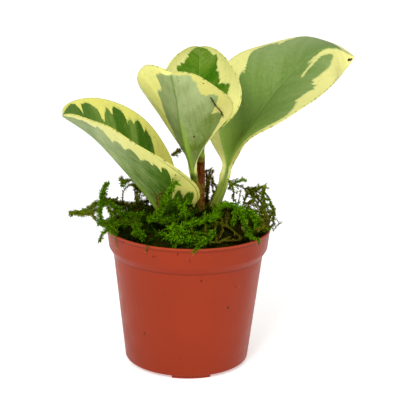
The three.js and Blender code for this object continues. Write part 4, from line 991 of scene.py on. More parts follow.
def pot_outline():
    lip_foot = POT_HEIGHT - LIP_HEIGHT
    band = RIM_RADIUS - LIP_PROUD
    floor = FOOT_HEIGHT + WALL
    return [
        (0, FOOT_HEIGHT), (BASE_RADIUS - BASE_BEVEL[0], FOOT_HEIGHT),
        (BASE_RADIUS, FOOT_HEIGHT + BASE_BEVEL[1]), (SHOULDER_RADIUS, SHOULDER_Z),
        (BAND_FOOT_RADIUS, BAND_FOOT_Z), (band, lip_foot - LIP_STEP[0]),
        (RIM_RADIUS, lip_foot + LIP_STEP[1]), (RIM_RADIUS, POT_HEIGHT - LIP_BEVEL), (band, POT_HEIGHT),
        (band - LIP_FLAT, POT_HEIGHT), (band - WALL, POT_HEIGHT - RIM_INSIDE_DROP),
        (BAND_FOOT_RADIUS - WALL, BAND_FOOT_Z), (SHOULDER_RADIUS - WALL, SHOULDER_Z),
        (BASE_RADIUS - WALL, floor), (0, floor),
    ]


def revolve(pile, outline, count):
    """A closed skin from an outline that starts and ends on the pot's axis."""
    inner = outline[1:-1]
    points, triangles = skin(ring(turns(count), inner[:, :1], inner[:, 1:]))
    points[-2:] = [[0, 0, outline[0, 1]], [0, 0, outline[-1, 1]]]
    pile.add(points, triangles)


def foot_arc(pile, turn):
    outer = BASE_RADIUS - FOOT_INSET
    inner = outer - FOOT_WIDTH
    top = FOOT_HEIGHT + WALL / 2
    section = rounded([(inner, top), (inner, 0), (outer, 0), (outer, top)], EDGE_ROUNDING)
    angles = np.radians(np.linspace(turn - FOOT_HALF_ANGLE, turn + FOOT_HALF_ANGLE, FOOT_STEPS))
    pile.add(*skin(ring(angles[:, None], section[:, 0], section[:, 1])))


def pot_material():
    look = Look("pot_plastic", Specular_IOR_Level=0.06, Coat_Weight=0.15, Coat_Roughness=0.2)
    place = look.place()
    broad = look.noise(place, per_mm(0.02), 3.0)
    colour = look.mix(broad.spread(0.35, 0.65), tint(0x8d2d10), tint(0x943012))
    for scale, detail, roughness, start, full, strength, paint in POT_MARKS:
        mark = look.noise(place, per_mm(scale), detail, roughness)
        colour = look.over(colour, paint, mark.step(start, full) * strength)
    height = look.node("SeparateXYZ", {0: place}, output=2)
    # Painted light and shade in bands round the pot
    for comes, full, goes, gone, strength, paint in POT_PAINTED_LIGHT:
        band = height.step(comes * MM, full * MM) * height.step(gone * MM, goes * MM)
        colour = look.over(colour, paint, band * strength)
    rough = look.noise(place, per_mm(0.12), 5.0).spread(0.3, 0.7, 0.36, 0.5)
    return look.finish(colour, rough, look.bump(look.noise(place, per_mm(2.2), 3.0), 0.25, 0.06))


def make_pot():
    shell = Pile()
    revolve(shell, rounded(pot_outline(), EDGE_ROUNDING), POT_TURNS)
    pot = mesh_piece("pot_shell", shell, pot_material(), "pot")
    feet = Pile()
    holes = Pile()
    pitch = 360 / FOOT_COUNT
    for i in range(FOOT_COUNT):
        foot_arc(feet, FOOT_TURN + i * pitch)
        turn = math.radians(FOOT_TURN + (i + 0.5) * pitch)
        x = DRAIN_PITCH_RADIUS * math.cos(turn)
        y = DRAIN_PITCH_RADIUS * math.sin(turn)
        ends = [[x, y, z, DRAIN_RADIUS] for z in (FOOT_HEIGHT - 1, FOOT_HEIGHT + 2 * WALL)]
        tube(holes, ends, sides=DRAIN_SIDES)
    pad_top = FOOT_HEIGHT + WALL / 2
    pad = rounded([(0, 0), (PAD_RADIUS, 0), (PAD_RADIUS, pad_top), (0, pad_top)], PAD_ROUNDING)
    revolve(feet, pad, PAD_TURNS)
    combine(pot, "UNION", feet)
    combine(pot, "DIFFERENCE", holes)
    pot.data.polygons.foreach_set("use_smooth", np.ones(len(pot.data.polygons), bool))


# Ground surfaces

def ripple(x, y, pitch, phase):
    """The ground's broad waves, as in the CAD model."""
    u = 2 * np.pi * x / pitch
    v = 2 * np.pi * y / pitch
    return np.sin(u + phase) * np.cos(v - 1.7 * phase) + 0.5 * np.sin(1.9 * u - 2.3 * v + phase)


def moss_edge(turn):
    front = np.maximum(0, -np.sin(turn))
    return MOSS_EDGE_RADIUS - MOSS_FRONT_RETREAT * front * front


def soil_top(x, y):
    share = np.hypot(x, y) / MOSS_EDGE_RADIUS
    return SOIL_EDGE_Z + SOIL_CROWN * (1 - share * share) + SOIL_BUMP * ripple(x, y, *SOIL_RIPPLE)


def moss_top(x, y):
    share = np.hypot(x, y) / moss_edge(np.arctan2(y, x))
    dome = 1 - np.minimum(share, 1) ** 3
    return MOSS_EDGE_Z + MOSS_CROWN * dome + MOSS_BUMP * dome * ripple(x, y, *MOSS_RIPPLE)


def lumps(x, y, seed, pitch):
    """Uneven ground, from a few waves with seeded directions."""
    rng = np.random.default_rng(seed)
    total = np.zeros_like(x)
    for scale in LUMP_SCALES:
        for _ in range(LUMP_WAVES):
            turn = rng.uniform(0, 2 * np.pi)
            phase = rng.uniform(0, 2 * np.pi)
            wave = (x * np.cos(turn) + y * np.sin(turn)) * 2 * np.pi / (pitch * scale)
            total += scale * np.sin(wave + phase)
    return total / LUMP_WAVES


def crumbs(pile, count):
    """Small angular grains that lie on the soil."""
    rng = np.random.default_rng(SEEDS["crumbs"])
    low, high = CRUMB_SIZES
    radius = CRUMB_REACH * np.sqrt(rng.uniform(CRUMB_INNER, 1, count))
    turn = rng.uniform(0, 2 * np.pi, count)
    size = low + (high - low) * rng.uniform(0, 1, count) ** 2.5
    stretch = rng.uniform(*CRUMB_STRETCH, (count, 6, 1))
    squash = rng.uniform(*CRUMB_SQUASH, (count, 1, 3))
    spin = np.linalg.qr(rng.normal(size=(count, 3, 3)))[0]
    shape = np.einsum("nij,nkj->nki", spin, CRUMB_CORNERS * stretch * squash) * size[:, None, None]
    middle = ring(turn, radius, lambda x, y: soil_top(x, y) + CRUMB_RISE * size)
    triangles = np.array(CRUMB_FACES) + 6 * np.arange(count)[:, None, None]
    flip = np.linalg.det(spin) < 0
    triangles[flip] = triangles[flip][..., ::-1]
    pile.add(shape + middle[:, None], triangles, shade=np.repeat(rng.uniform(0, 1, count), 6))


def specks(pile):
    """Crumbs of soil that stick to the outside of the pot."""
    heights = [FOOT_HEIGHT, SHOULDER_Z, BAND_FOOT_Z, POT_HEIGHT]
    radii = [BASE_RADIUS, SHOULDER_RADIUS, BAND_FOOT_RADIUS, RIM_RADIUS - LIP_PROUD]
    for turn, height, size in SPECKS:
        radius = np.interp(height, heights, radii)
        x = radius * math.cos(math.radians(turn))
        y = radius * math.sin(math.radians(turn))
        ends = [[x, y, height - size, 0.6 * size], [x, y, height + size, 0.4 * size]]
        tube(pile, ends, sides=5, shade=0.0)


def soil_material():
    look = Look("soil", Roughness=0.95)
    grain = look.noise(look.place(), per_mm(0.8), 6.0, 0.7)
    colour = look.ramp(grain * 0.7 + look.value("shade") * 0.3,
                       [(0.25, 0x120d08), (0.5, 0x2a1d12), (0.72, 0x493421), (0.9, 0x6b5238)])
    return look.finish(colour, None, look.bump(grain, 0.7, 0.5))


def make_soil():
    pile = Pile()
    turn = turns(SOIL_TURNS)
    inside = WALL + SOIL_GAP
    bore = [(FOOT_HEIGHT + WALL + SOIL_LIFT, BASE_RADIUS - inside), (SHOULDER_Z, SHOULDER_RADIUS - inside),
            (BAND_FOOT_Z, BAND_FOOT_RADIUS - inside), (SOIL_EDGE_Z, SOIL_REACH)]
    rings = [ring(turn, radius, z) for z, radius in bore]

    def uneven(x, y):
        return soil_top(x, y) + SOIL_LUMP * lumps(x, y, SEEDS["soil_lumps"], SOIL_LUMP_PITCH)

    for share in np.linspace(1, 0.02, SOIL_ROWS):
        rings.append(ring(turn, SOIL_TOP_REACH * share, uneven))
    pile.add(*skin(np.array(rings)), shade=0.3)
    crumbs(pile, CRUMB_COUNT)
    specks(pile)
    mesh_piece("soil_bed", pile, soil_material(), "soil")


# Stem

def stem_material():
    look = Look("stem_bark", Roughness=0.7, Specular_IOR_Level=0.05)
    place = look.place()
    streak = look.noise(look.drawn_out(0.25), per_mm(1.4), 4.0)
    speck = look.noise(place, per_mm(1.1), 3.0).step(0.55, 0.66)
    patches = look.noise(place, per_mm(0.35), 3.0).step(0.4, 0.58)
    colour = look.over(look.ramp(streak, STEM_BROWNS), 0x6a180c, speck * 0.6)
    olive = look.value("height").step(OLIVE_FROM, OLIVE_FULL) * patches
    colour = look.over(colour, 0x6e6420, olive * 0.75)
    return look.finish(colour, None, look.bump(streak, 0.4, 0.3))


def make_stem():
    pile = Pile()
    place, _, one, other, _ = line_frames(STEM_ROUTE, np.linspace(0, 1, STEM_ROWS))
    turn = turns(STEM_SIDES)
    height = place[:, 2:3]
    scars = SCAR_PROUD * np.exp(-((height - np.array(STEM_SCARS)) / SCAR_SPREAD) ** 2).sum(1)
    ridges = STEM_RIDGE * np.sin(5 * turn) + STEM_KNOTS * np.sin(9 * turn + 1) * np.sin(height / 3)
    radius = (place[:, 3] + scars)[:, None] + ridges
    rings = place[:, None, :3] + radius[..., None] * around(turn[None], one[:, None], other[:, None])
    points, triangles = skin(rings)
    pile.add(points, triangles, height=points[:, 2])
    mesh_piece("stem", pile, stem_material(), "main_stem")


# Leaves

def half_width(leaf, share):
    widest = leaf["foot"] / (leaf["foot"] + leaf["tip"])
    rise = (share / widest) ** leaf["foot"]
    fall = ((1 - share) / (1 - widest)) ** leaf["tip"]
    return leaf["width"] / 2 * rise * fall


def blade_frame(leaf, share):
    """The middle line, its direction, the way the upper face looks and the way across."""
    along = 0
    for shift in DIRECTION_SHIFTS:
        at = share + shift
        along = along + unit(spline(leaf["midrib"], np.minimum(1, at + REACH))
                             - spline(leaf["midrib"], np.maximum(0, at - REACH)))
    along = unit(along)
    up = spline(leaf["facing"], share)
    up = unit(up - (up * along).sum(-1, keepdims=True) * along)
    return spline(leaf["midrib"], share), along, up, np.cross(along, up)


def half_surface(leaf, half, share, outs):
    """Points, upward normals and outward directions of one half, for rows and columns."""
    place, along, up, across = blade_frame(leaf, share)
    outward = half["side"] * across
    fold, curl = np.radians(spline(np.stack([half["fold"], half["curl"]], -1), share)).T
    centre, spread, depth = half.get("trim", NO_TRIM)
    trimmed = 1 - depth * np.exp(-((share - centre) / spread) ** 2)
    width = (half_width(leaf, share) * trimmed)[:, None]
    points, normals, ways = [], [], []
    last = 0.0
    for out in outs:
        step = width * (out - last) / BEND_STEPS
        for i in range(BEND_STEPS):
            at = last + (out - last) * (i + 0.5) / BEND_STEPS
            place = place + step * around(fold + curl * at, outward, up)
        last = out
        angle = fold + curl * out
        points.append(place + leaf["sweep"] * width * out * out * along)
        normals.append(around(angle, up, -outward))
        ways.append(around(angle, outward, up))
    return np.stack(points, 1), np.stack(normals, 1), np.stack(ways, 1)


def vein_place(share, out):
    return share - VEIN_LEAN * (1 - share ** 5) * out


def half_values(leaf, half, share, outs, width):
    """What the material needs at each point of a half: lengths in millimetres, and shares."""
    share = share[:, None]
    outs = outs[None, :]
    length = leaf["length"]
    vein = vein_place(share, outs)
    green = (scallops(half["green"], vein) - outs) * np.maximum(width, LEAST_GREEN_WIDTH)
    is_far = half["side"] > 0
    for s0, v0, s1, v1, r0, r1 in leaf["streaks"] if is_far else []:
        dx = (share - s0) * length
        dy = (outs - v0) * width
        ax = (s1 - s0) * length
        ay = (v1 - v0) * width
        t = np.clip((dx * ax + dy * ay) / (ax * ax + ay * ay), 0, 1)
        gap = np.hypot(dx - t * ax, dy - t * ay) - (r0 + (r1 - r0) * t)
        green = np.minimum(green, gap)
    spot = np.full(green.shape, -1.0)
    for name, s, v, radius in leaf["spots"]:
        if name == ("far" if is_far else "near"):
            away = np.hypot((share - s) * length, (outs - v) * width)
            spot = np.maximum(spot, 1 - away / radius)
    tone = np.interp(vein, *np.transpose(half["tone"]))
    values = {"green": green, "tone": tone, "spot": spot, "share": share,
              "vein": vein * length + (FAR_VEINS if is_far else 0), "out": outs * width,
              "margin": (1 - outs) * width, "ridge": outs}
    return {key: np.broadcast_to(value, green.shape) for key, value in values.items()}


def winged(turn, wing, channel):
    """How far out a petiole's upper side lies, as a share of its radius."""
    ridge = np.exp(-((turn - WING_TURN) / WING_WIDTH) ** 2)
    dip = np.exp(-(turn / CHANNEL_WIDTH) ** 2)
    return 1 + wing * ridge - channel * dip


def ring_of(halves):
    """One closed ring for each row, from each half's top, underside and margin: over the top,
    round one margin, back under, and round the other margin."""
    (top, low, edge), (far_top, far_low, far_edge) = halves
    return np.concatenate([top[:, ::-1], far_top[:, 1:], far_edge, far_low[:, ::-1], low[:, 1:],
                           edge[:, ::-1]], axis=1)


def petiole_rings(leaf, outs, start, up):
    """Rings from the stem up to the blade's first ring, and how far up each of them lies."""
    shares = np.linspace(0, 1, PETIOLE_ROWS + 1)[:-1]
    place, direction, _, _, length = line_frames(leaf["petiole"] + [start], shares)
    rise = unit(up - (direction @ up)[:, None] * direction)
    aside = np.cross(direction, rise)[:, None]
    rise = rise[:, None]
    turn = outs[None] * (np.pi / 2 - EDGE_TURN)
    bend = np.linspace(-EDGE_TURN, EDGE_TURN, EDGE_POINTS + 2)[1:-1][None, ::-1]
    grown = shares[:, None] ** WING_GROWTH
    halves = []
    for half in (leaf["near"], leaf["far"]):
        outward = half["side"] * aside
        reach_up = winged(turn, grown * half.get("wing", 0), grown * leaf["channel"])[..., None]
        ways = (around(turn, rise, outward) * reach_up, around(turn, -rise, outward),
                around(bend, outward, rise))
        halves.append([place[:, None, :3] + place[:, None, 3:] * way for way in ways])
    return ring_of(halves), length * shares, length


def blade_half(leaf, half, share, outs, width, rib):
    """The top, underside and rounded margin of one half, which grows out of the petiole's ring."""
    middle, _, up, across = blade_frame(leaf, share)
    up = up[:, None]
    outward = half["side"] * across
    surface, normal, way = half_surface(leaf, half, share, outs)
    away = outs[None] * width
    taper = np.minimum(1, TAPER_START + TAPER_RISE * width)
    thickness = (MARGIN_THICKNESS + (BLADE_THICKNESS - MARGIN_THICKNESS) * (1 - outs[None] ** 2)) * taper
    vein = vein_place(share[:, None], outs[None]) * leaf["length"]
    quilt = QUILT_HEIGHT * np.cos(2 * np.pi * vein / QUILT_PITCH)
    quilt = quilt * smooth(away / QUILT_FROM_RIB) * smooth((width - away) / QUILT_FROM_MARGIN)
    groove = GROOVE_DEPTH * np.exp(-(away / GROOVE_WIDTH) ** 2)
    groove = groove * smooth((1 - share[:, None]) / GROOVE_END)
    wave = WAVE_HEIGHT * np.sin(vein / WAVE_PITCH + 2 * half["side"])
    wave = wave * (outs[None] ** 3) * smooth(width / WAVE_WIDTH)
    soft = smooth(away / RIB_SOFTNESS)[..., None]
    top = surface + unit(up * (1 - soft) + normal * soft) * (quilt - groove + wave)[..., None]
    soft = smooth(away / (UNDER_RIB_SOFTNESS * rib + 0.3))[..., None]
    bulge = np.maximum(0, RIB_BULGE * BLADE_THICKNESS + rib - thickness)
    bulge = bulge * np.exp(-(away / (RIB_BULGE_WIDTH * rib + 0.05)) ** 2)
    low = surface - unit(up * (1 - soft) + normal * soft) * (thickness + bulge)[..., None]
    low = low + normal * (quilt + wave)[..., None]

    turn = outs[None] * (np.pi / 2 - EDGE_TURN)
    rib = rib[:, None]
    centre = middle[:, None] - up * rib * RIB_SINK
    reach_up = winged(turn, half.get("wing", 0), leaf["channel"])[..., None]
    top_arc = centre + rib * reach_up * around(turn, up, outward[:, None])
    low_arc = centre + rib * around(turn, -up, outward[:, None])
    blend = smooth(share / leaf["blend"])[:, None, None]
    top = top_arc + (top - top_arc) * blend
    low = low_arc + (low - low_arc) * blend
    end_way = unit(outward + (way[:, -1] - outward) * blend[:, 0])[:, None]
    bend = np.linspace(0, np.pi, EDGE_POINTS + 2)[1:-1][None]
    rim_middle = (top[:, -1:] + low[:, -1:]) / 2
    rim_half = (top[:, -1:] - low[:, -1:]) / 2
    reach = np.linalg.norm(rim_half, axis=-1, keepdims=True)
    return top, low, rim_middle + around(bend, rim_half, end_way * reach)


def leaf_piece(name, leaf, look):
    """A blade and its petiole as one closed skin."""
    share = FIRST_ROW + ROW_SPAN * (0.5 - 0.5 * np.cos(np.pi * np.linspace(0, 1, BLADE_ROWS)))
    outs = np.linspace(0, 1, HALF_COLUMNS + 1) ** COLUMN_CROWDING
    leaf["length"] = span_of(spline(leaf["midrib"], np.linspace(0, 1, 60)))
    halves = (leaf["near"], leaf["far"])
    width = half_width(leaf, share)[:, None]
    foot_radius = leaf["petiole"][-1][3]
    rib = np.where(share < RIB_SHARE, foot_radius + (RIB_END_RADIUS - foot_radius) * share / RIB_SHARE,
                   RIB_END_RADIUS * (1 - share) / (1 - RIB_SHARE))[:, None]
    blade = ring_of([blade_half(leaf, half, share, outs, width, rib) for half in halves])
    middle, _, up, _ = blade_frame(leaf, share)
    start = (middle[0] - up[0] * foot_radius * RIB_SINK).tolist() + [foot_radius]
    stalk, climbed, length = petiole_rings(leaf, outs, start, up[0])

    # The values go round each ring as its points do, and on down the petiole as at the blade's foot
    near, far = [half_values(leaf, half, share, outs, width) for half in halves]
    values = {}
    for key in near:
        faces = [(v[key], np.repeat(v[key][:, -1:], EDGE_POINTS, 1)) for v in (near, far)]
        values[key] = ring_of([(face, face, rim) for face, rim in faces])
    flat = np.ones((BLADE_ROWS, HALF_COLUMNS + 1))
    falling = np.broadcast_to(np.linspace(1, 0, EDGE_POINTS + 2)[1:-1], (BLADE_ROWS, EDGE_POINTS))
    values["upper"] = ring_of([(flat, 0 * flat, falling)] * 2)
    values["stalk"] = np.zeros_like(values["upper"])
    values["root"] = np.full_like(values["upper"], FAR_AWAY)
    on_stalk = {"stalk": length - climbed, "root": climbed}
    full = {}
    for key, value in values.items():
        first = on_stalk[key][:, None] if key in on_stalk else value[:1]
        rows = np.concatenate([np.broadcast_to(first, (PETIOLE_ROWS, value.shape[1])), value])
        full[key] = np.concatenate([rows.ravel(), [rows[0].mean(), rows[-1].mean()]])
    pile = Pile()
    pile.add(*skin(np.concatenate([stalk, blade])), **full)
    mesh_piece(name + "_blade", pile, look, name)


def leaf_material(name, leaf):
    (dark, middle, pale, cream, gold, under_pale, under_dark, under_cream, under_cream_far,
     lit_foot_colour) = PALETTES[name]
    streaky = leaf["streaky"]
    look = Look(name + "_skin", Roughness=0.4, Specular_IOR_Level=0.15)
    green, tone, vein, out, upper, share, stalk, spot, margin, ridge = [
        look.value(key) for key in ("green", "tone", "vein", "out", "upper", "share", "stalk", "spot",
                                    "margin", "ridge")]
    is_far = vein.step(0.6 * FAR_VEINS, 0.8 * FAR_VEINS)

    def veined(along, across, detail=3.0):
        """A noise drawn out along the veins, by its pace along the midrib and across the half."""
        return look.noise(look.vector(vein * along, out * across), 1.0, detail)

    # The ragged line where green meets cream
    drift = veined(0.2, 0.08, 1.0)
    edge = green
    for pitch, height in leaf["lobes"]:
        wave = (vein * (math.pi / pitch) + drift * LOBE_WANDER).math("SINE")
        edge = edge + (abs(wave).math("POWER", LOBE_ROUNDNESS) - LOBE_MEAN) * height
    edge = edge + (veined(1.3, 0.3) - 0.5) * leaf["ragged"]
    green_part = look.mix(upper, edge.step(*BLURRED_EDGE), edge.step(*SHARP_EDGE))

    # Greens of the upper face, in sectors along the veins
    fine = veined(0.9, 0.16)
    depth = tone - (ridge - 0.45) * leaf["inner"] + (veined(0.16, 0.03) - 0.5) * (0.25 + 1.6 * streaky)
    depth = (depth + (fine - 0.5) * streaky).clamped()
    leaf_green = look.ramp(depth, [(0.05, pale), (0.5, middle), (0.95, dark)])
    leaf_green = look.over(leaf_green, pale, out.step(0.55, 0.15) * 0.3)
    side_vein = (vein + drift * VEIN_WANDER).math("PINGPONG", 0.5 * VEIN_PITCH).step(0.6, 0.1)
    leaf_green = look.over(leaf_green, dark, side_vein * (1.3 * streaky))
    # The foot's paler green: partly its own yellower green, partly painted light on the shaded fold
    foot_low, foot_high, foot_strength, foot_start, foot_full = leaf["lit_foot_green"]
    lit_foot_share = share.step(foot_low, foot_high) * share.step(foot_start, foot_full) * foot_strength
    leaf_green = look.over(leaf_green, lit_foot_colour, lit_foot_share)

    # Creams, more golden towards the foot, with a fine mottle
    mottle = look.noise(look.vector(vein, out), 0.5, 5.0, 0.6)
    golden = (share.step(0.6, 0.25) + (mottle - 0.5) * 0.5).clamped()
    leaf_cream = look.mix(golden, tint(cream), tint(gold))
    leaf_cream = look.over(leaf_cream, pale, (edge + mottle * 2.0).step(-1.0, 0.9) * 0.35)
    top = look.mix(green_part, leaf_cream, leaf_green)

    # The underside is paler and greyer
    cloud = look.noise(look.vector(vein, out), 0.09, 4.0)
    grain = veined(0.1, 0.8)
    depth = (tone + (cloud - 0.5) * 0.9 + (grain - 0.5) * (3.5 * streaky)).clamped()
    under_green = look.mix(depth, tint(under_pale), tint(under_dark))
    under_green = look.over(under_green, 0x7e9e30, out.step(2.4, 0.6) * share.step(0.62, 0.3))
    under_green = look.over(under_green, 0x5c7c24, out.step(0.75, 0.25) * share.step(0.25, 0.45) * 0.6)
    # On the front leaf the far half's cream is painted lighter and the near half's darker: painted light and
    # shade
    under_creamy = look.mix(is_far, tint(under_cream), tint(under_cream_far))
    under_creamy = look.over(under_creamy, gold, golden * 0.6)
    colour = look.mix(upper, look.mix(green_part, under_creamy, under_green), top)

    # Dark and pale flecks all over
    fleck = look.noise(look.place(), per_mm(0.45), 5.0, 0.7)
    colour = look.over(colour, dark, fleck.step(0.5, 0.75) * 0.22)
    colour = look.over(colour, cream, fleck.step(0.5, 0.25) * 0.12)

    # The petiole is green, with cream edges for a while and a brown foot at the stem
    streaks = look.noise(look.drawn_out(0.2), per_mm(0.9), 3.0)
    stalk_colour = look.mix(streaks.spread(0.35, 0.65), tint(0x466010), tint(0x6c8428))
    stalk_colour = look.over(stalk_colour, 0x304a08, ridge.step(0.22, 0.08) * upper * 0.8)
    stalk_colour = look.over(stalk_colour, 0x98ae6c, is_far * ridge.step(0.6, 0.9) * 0.6)
    edges = ridge.step(0.5, 0.62) * ridge.step(0.92, 0.82) * upper
    edges = edges * stalk.step(1.6 * leaf["fade"], 0.5 * leaf["fade"])
    stalk_colour = look.over(stalk_colour, cream, edges * 0.85)
    colour = look.mix(stalk.step(0.0, 6.0), colour, stalk_colour)
    if leaf["brown_foot"]:
        green_from, brown_from = leaf["brown_foot"]
        brown = (look.value("root") + streaks).step(0.5 + green_from, 0.5 + brown_from)
        colour = look.mix(brown, colour, look.ramp(streaks, STEM_BROWNS))

    # Spots, specks, and the lines along the margin
    colour = look.over(colour, 0x3a2412, spot.step(0.0, 0.25))
    specks = look.noise(look.vector(vein, out, 3.0), 1.7, 1.0).step(0.74, 0.8)
    colour = look.over(colour, 0x6a7a30, specks * 0.35)
    colour = look.over(colour, 0x9aa040, margin.step(0.7, 0.1) * 0.3)
    seam = abs(margin - 1.5).step(0.5, 0.2) * vein.step(0.8 * FAR_VEINS, 0.6 * FAR_VEINS)
    colour = look.over(colour, 0x46561a, seam * share.step(0.6, 0.5) * leaf["seam"])
    dashes = look.noise(look.vector(vein, 0.0), 0.35, 2.0).step(0.52, 0.6)
    colour = look.over(colour, 0x3e4a14, dashes * margin.step(0.3, 0.0) * 0.6)
    height = look.noise(look.place(), per_mm(1.6), 3.0) * 0.5 + fine * (2.5 * streaky)
    return look.finish(colour, mottle.spread(0.3, 0.7, 0.34, 0.5), look.bump(height, 0.22, 0.25))


def make_leaf_twig():
    """A dry twig that clings to the underside of the front leaf."""
    leaf = LEAVES["leaf_front"]
    path = np.array(LEAF_TWIG)
    outs = np.linspace(0, 1, LEAF_TWIG_COLUMNS + 1)
    surface, normal, _ = half_surface(leaf, leaf["near"], path[:, 0], outs)
    column = np.round(path[:, 1] * LEAF_TWIG_COLUMNS).astype(int)
    row = np.arange(len(path))
    place = surface[row, column] - normal[row, column] * LEAF_TWIG_GAP
    pile = Pile()
    rng = np.random.default_rng(SEEDS["leaf_twig"])
    fuzz(pile, np.hstack([place, path[:, 2:]]), rng, 0.95, 2.0, 0.7, 0.8)
    mesh_piece("leaf_twig", pile, moss_material("dry_twig"), "moss")


def make_leaves():
    for name, given in LEAVES.items():
        leaf = {**LEAF_USUAL, **given}
        leaf_piece(name, leaf, leaf_material(name, leaf))


# Moss

def leaflets(pile, base, direction, outward, size, tone, shade, rng):
    """Tiny keeled moss leaves, each a closed four-sided blade."""
    count = len(base)
    across = unit(np.cross(direction, outward) + LEAFLET_TWIST * rng.normal(size=(count, 3)))
    normal = np.cross(across, direction)
    size = size[:, None]
    half = LEAFLET_WIDTH / 2 * np.clip(0.5 + 0.3 * size, 0.5, 1.2)
    widest = base + direction * size * LEAFLET_WIDEST + normal * size * LEAFLET_KEEL
    tip = base + direction * size + outward * size * LEAFLET_TIP_LIFT
    points = np.stack([base, widest + across * half, widest - across * half, tip], 1)
    triangles = LEAFLET_FACES[None] + 4 * np.arange(count)[:, None, None]
    at_tip = np.tile([0.0, 0.5, 0.5, 1.0], count)
    pile.add(points, triangles, tone=np.repeat(tone, 4), shade=np.repeat(shade, 4), tip=at_tip)


def fuzz(pile, points, rng, tone, cover, light, leaf, core=STALK_RADIUS):
    """A moss strand: a thin stalk with leaflets all round it, in an uneven brush."""
    points = np.asarray(points, float)
    span = span_of(points)
    count = max(LEAST_LEAFLETS, int(span * 2 * math.pi * max(0.4, points[:, 3].mean()) * cover))
    shares = np.sort((np.arange(count) + rng.uniform(0, 1, count)) / count)
    place, along, one, other, _ = line_frames(points, shares)
    turn = np.arange(count) * GOLDEN_TURN + rng.normal(0, 0.5, count)
    outward = around(turn, one, other)
    phase = rng.uniform(0, 2 * np.pi, 2)
    knobs = 1 + KNOB * np.sin(shares * span * 2 * np.pi / KNOB_PITCH + phase[0] + KNOB_TWIST * turn)
    knobs = knobs + FINE_KNOB * KNOB * np.sin(shares * span * FINE_KNOB_PACE * np.pi / KNOB_PITCH + phase[1])
    radius = np.maximum(place[:, 3], LEAST_BRUSH) * knobs
    lean = np.radians(rng.normal(*LEAFLET_LEAN, count))
    direction = unit(around(lean, along, outward))
    size = np.minimum(leaf, radius + 1.1) * rng.uniform(*LEAFLET_SIZES, count)
    room = np.maximum(0, radius - size * np.sin(lean)) * rng.uniform(0, 1, count)
    base = place[:, :3] + outward * room[:, None]
    # Leaflets that start further inside the brush are painted darker, as painted shade
    reach = np.clip((room + size * np.sin(lean)) / radius, 0, 1.2)
    shade = light * np.clip(0.02 + 0.85 * reach * rng.uniform(*LEAFLET_SHADES, count), 0, 1.3)
    tones = np.clip(tone + rng.normal(0, TONE_SPREAD, count), 0, 1)
    leaflets(pile, base, direction, outward, size, tones, shade, rng)
    # The stalk is painted dark, as shade in the brush's core
    stalk = points.copy()
    stalk[:, 3] = np.minimum(core, 0.5 * stalk[:, 3])
    tube(pile, stalk, sides=5, step=1.6, tone=min(1, tone + 0.25), shade=0.3 * light, tip=0.5)


def twigs(pile, points, rng, tone, pitch, length, radius, cover, light, leaf):
    """Short side strands that lean forward on either side of a strand."""
    points = np.asarray(points, float)
    count = int(span_of(points) / pitch)
    shares = (np.arange(count) + rng.uniform(0.1, 0.9, count)) / max(count, 1)
    place, along, one, other, _ = line_frames(points, shares)
    for i in range(count):
        turn = math.pi * i + rng.normal(0, TWIG_FAN)
        way = unit(around(turn, one[i], other[i]) + rng.uniform(*TWIG_LEANS) * along[i])
        reach = length * rng.uniform(*TWIG_LENGTHS)
        bend = rng.normal(0, TWIG_BEND, 3) * reach + TWIG_LIFT * reach * along[i]
        start = place[i, :3]
        middle = start + 0.5 * reach * way
        end = start + reach * way + bend
        route = [[*start, radius], [*middle, 0.9 * radius], [*end, 0.5 * radius]]
        tone_here = tone + rng.normal(0, TWIG_TONE_SPREAD)
        fuzz(pile, route, rng, tone_here, cover, light * rng.uniform(*TWIG_LIGHTS), leaf)


def wander(start, heading, length, rng, rise, lift):
    """A route over the mound that keeps turning a little."""
    x, y = start
    route = []
    for i in range(WANDER_STEPS + 1):
        reach = math.hypot(x, y)
        limit = moss_edge(math.atan2(y, x)) - MAT_EDGE_GAP
        if reach > limit:
            x *= limit / reach
            y *= limit / reach
        route.append([x, y, moss_top(x, y) + lift + rise * (i / WANDER_STEPS) ** 2])
        heading += rng.normal(0, WANDER_TURN)
        x += math.cos(heading) * length / WANDER_STEPS
        y += math.sin(heading) * length / WANDER_STEPS
    return route


def with_radius(route, first, last):
    radii = np.linspace(first, last, len(route))
    return [[*point, radius] for point, radius in zip(route, radii)]


def moss_material(name):
    bright, green, olive, brown = MOSS_PAINTS[name]
    look = Look(name, Roughness=1.0, Specular_IOR_Level=0.02)
    shade = look.value("shade")
    tip = look.value("tip")
    drift = look.noise(look.place(), per_mm(0.1), 3.0)
    hue = (look.value("tone") + (drift - 0.5) * 0.45).clamped()
    colour = look.ramp(hue, [(0.0, bright), (0.35, green), (0.65, olive), (1.0, brown)])
    # Leaflets turn towards near-black as painted shade, the more the lower their shade value and the nearer
    # their base; lit tips then turn pale
    painted_shade = look.over(colour, 0x050700, 0.97)
    colour = look.mix((shade * tip.spread(0.0, 1.0, 0.45, 1.0)).clamped(), painted_shade, colour)
    pale = look.over(colour, 0xb4cc30, 0.45)
    return look.finish(look.mix((tip.step(0.5, 1.0) * shade).clamped(), colour, pale))


def spot_at(x, y, middle_x, middle_y, spread_x, spread_y):
    return math.exp(-((x - middle_x) / spread_x) ** 2 - ((y - middle_y) / spread_y) ** 2)


def side_at(x, start, softness):
    return 1 / (1 + math.exp(-(x - start) / softness))


def region(x, y):
    """How brown the mat is at a place, and its painted light: bright green with painted light in the
    middle of the front, painted shade to the left and in a hollow at the right front, olive and
    brown to the right."""
    front = spot_at(x, y, *MAT_FRONT)
    tone = MAT_TONE - FRONT_TONE * front + RIGHT_TONE * side_at(x, *MAT_RIGHT)
    tone = tone - OUTER_TONE * side_at(x, *MAT_OUTER_RIGHT)
    light = MAT_PAINTED_LIGHT + FRONT_PAINTED_LIGHT * front - LEFT_PAINTED_SHADE * spot_at(x, y, *MAT_LEFT_HOLLOW)
    return tone, light - RIGHT_PAINTED_SHADE * spot_at(x, y, *MAT_RIGHT_HOLLOW)


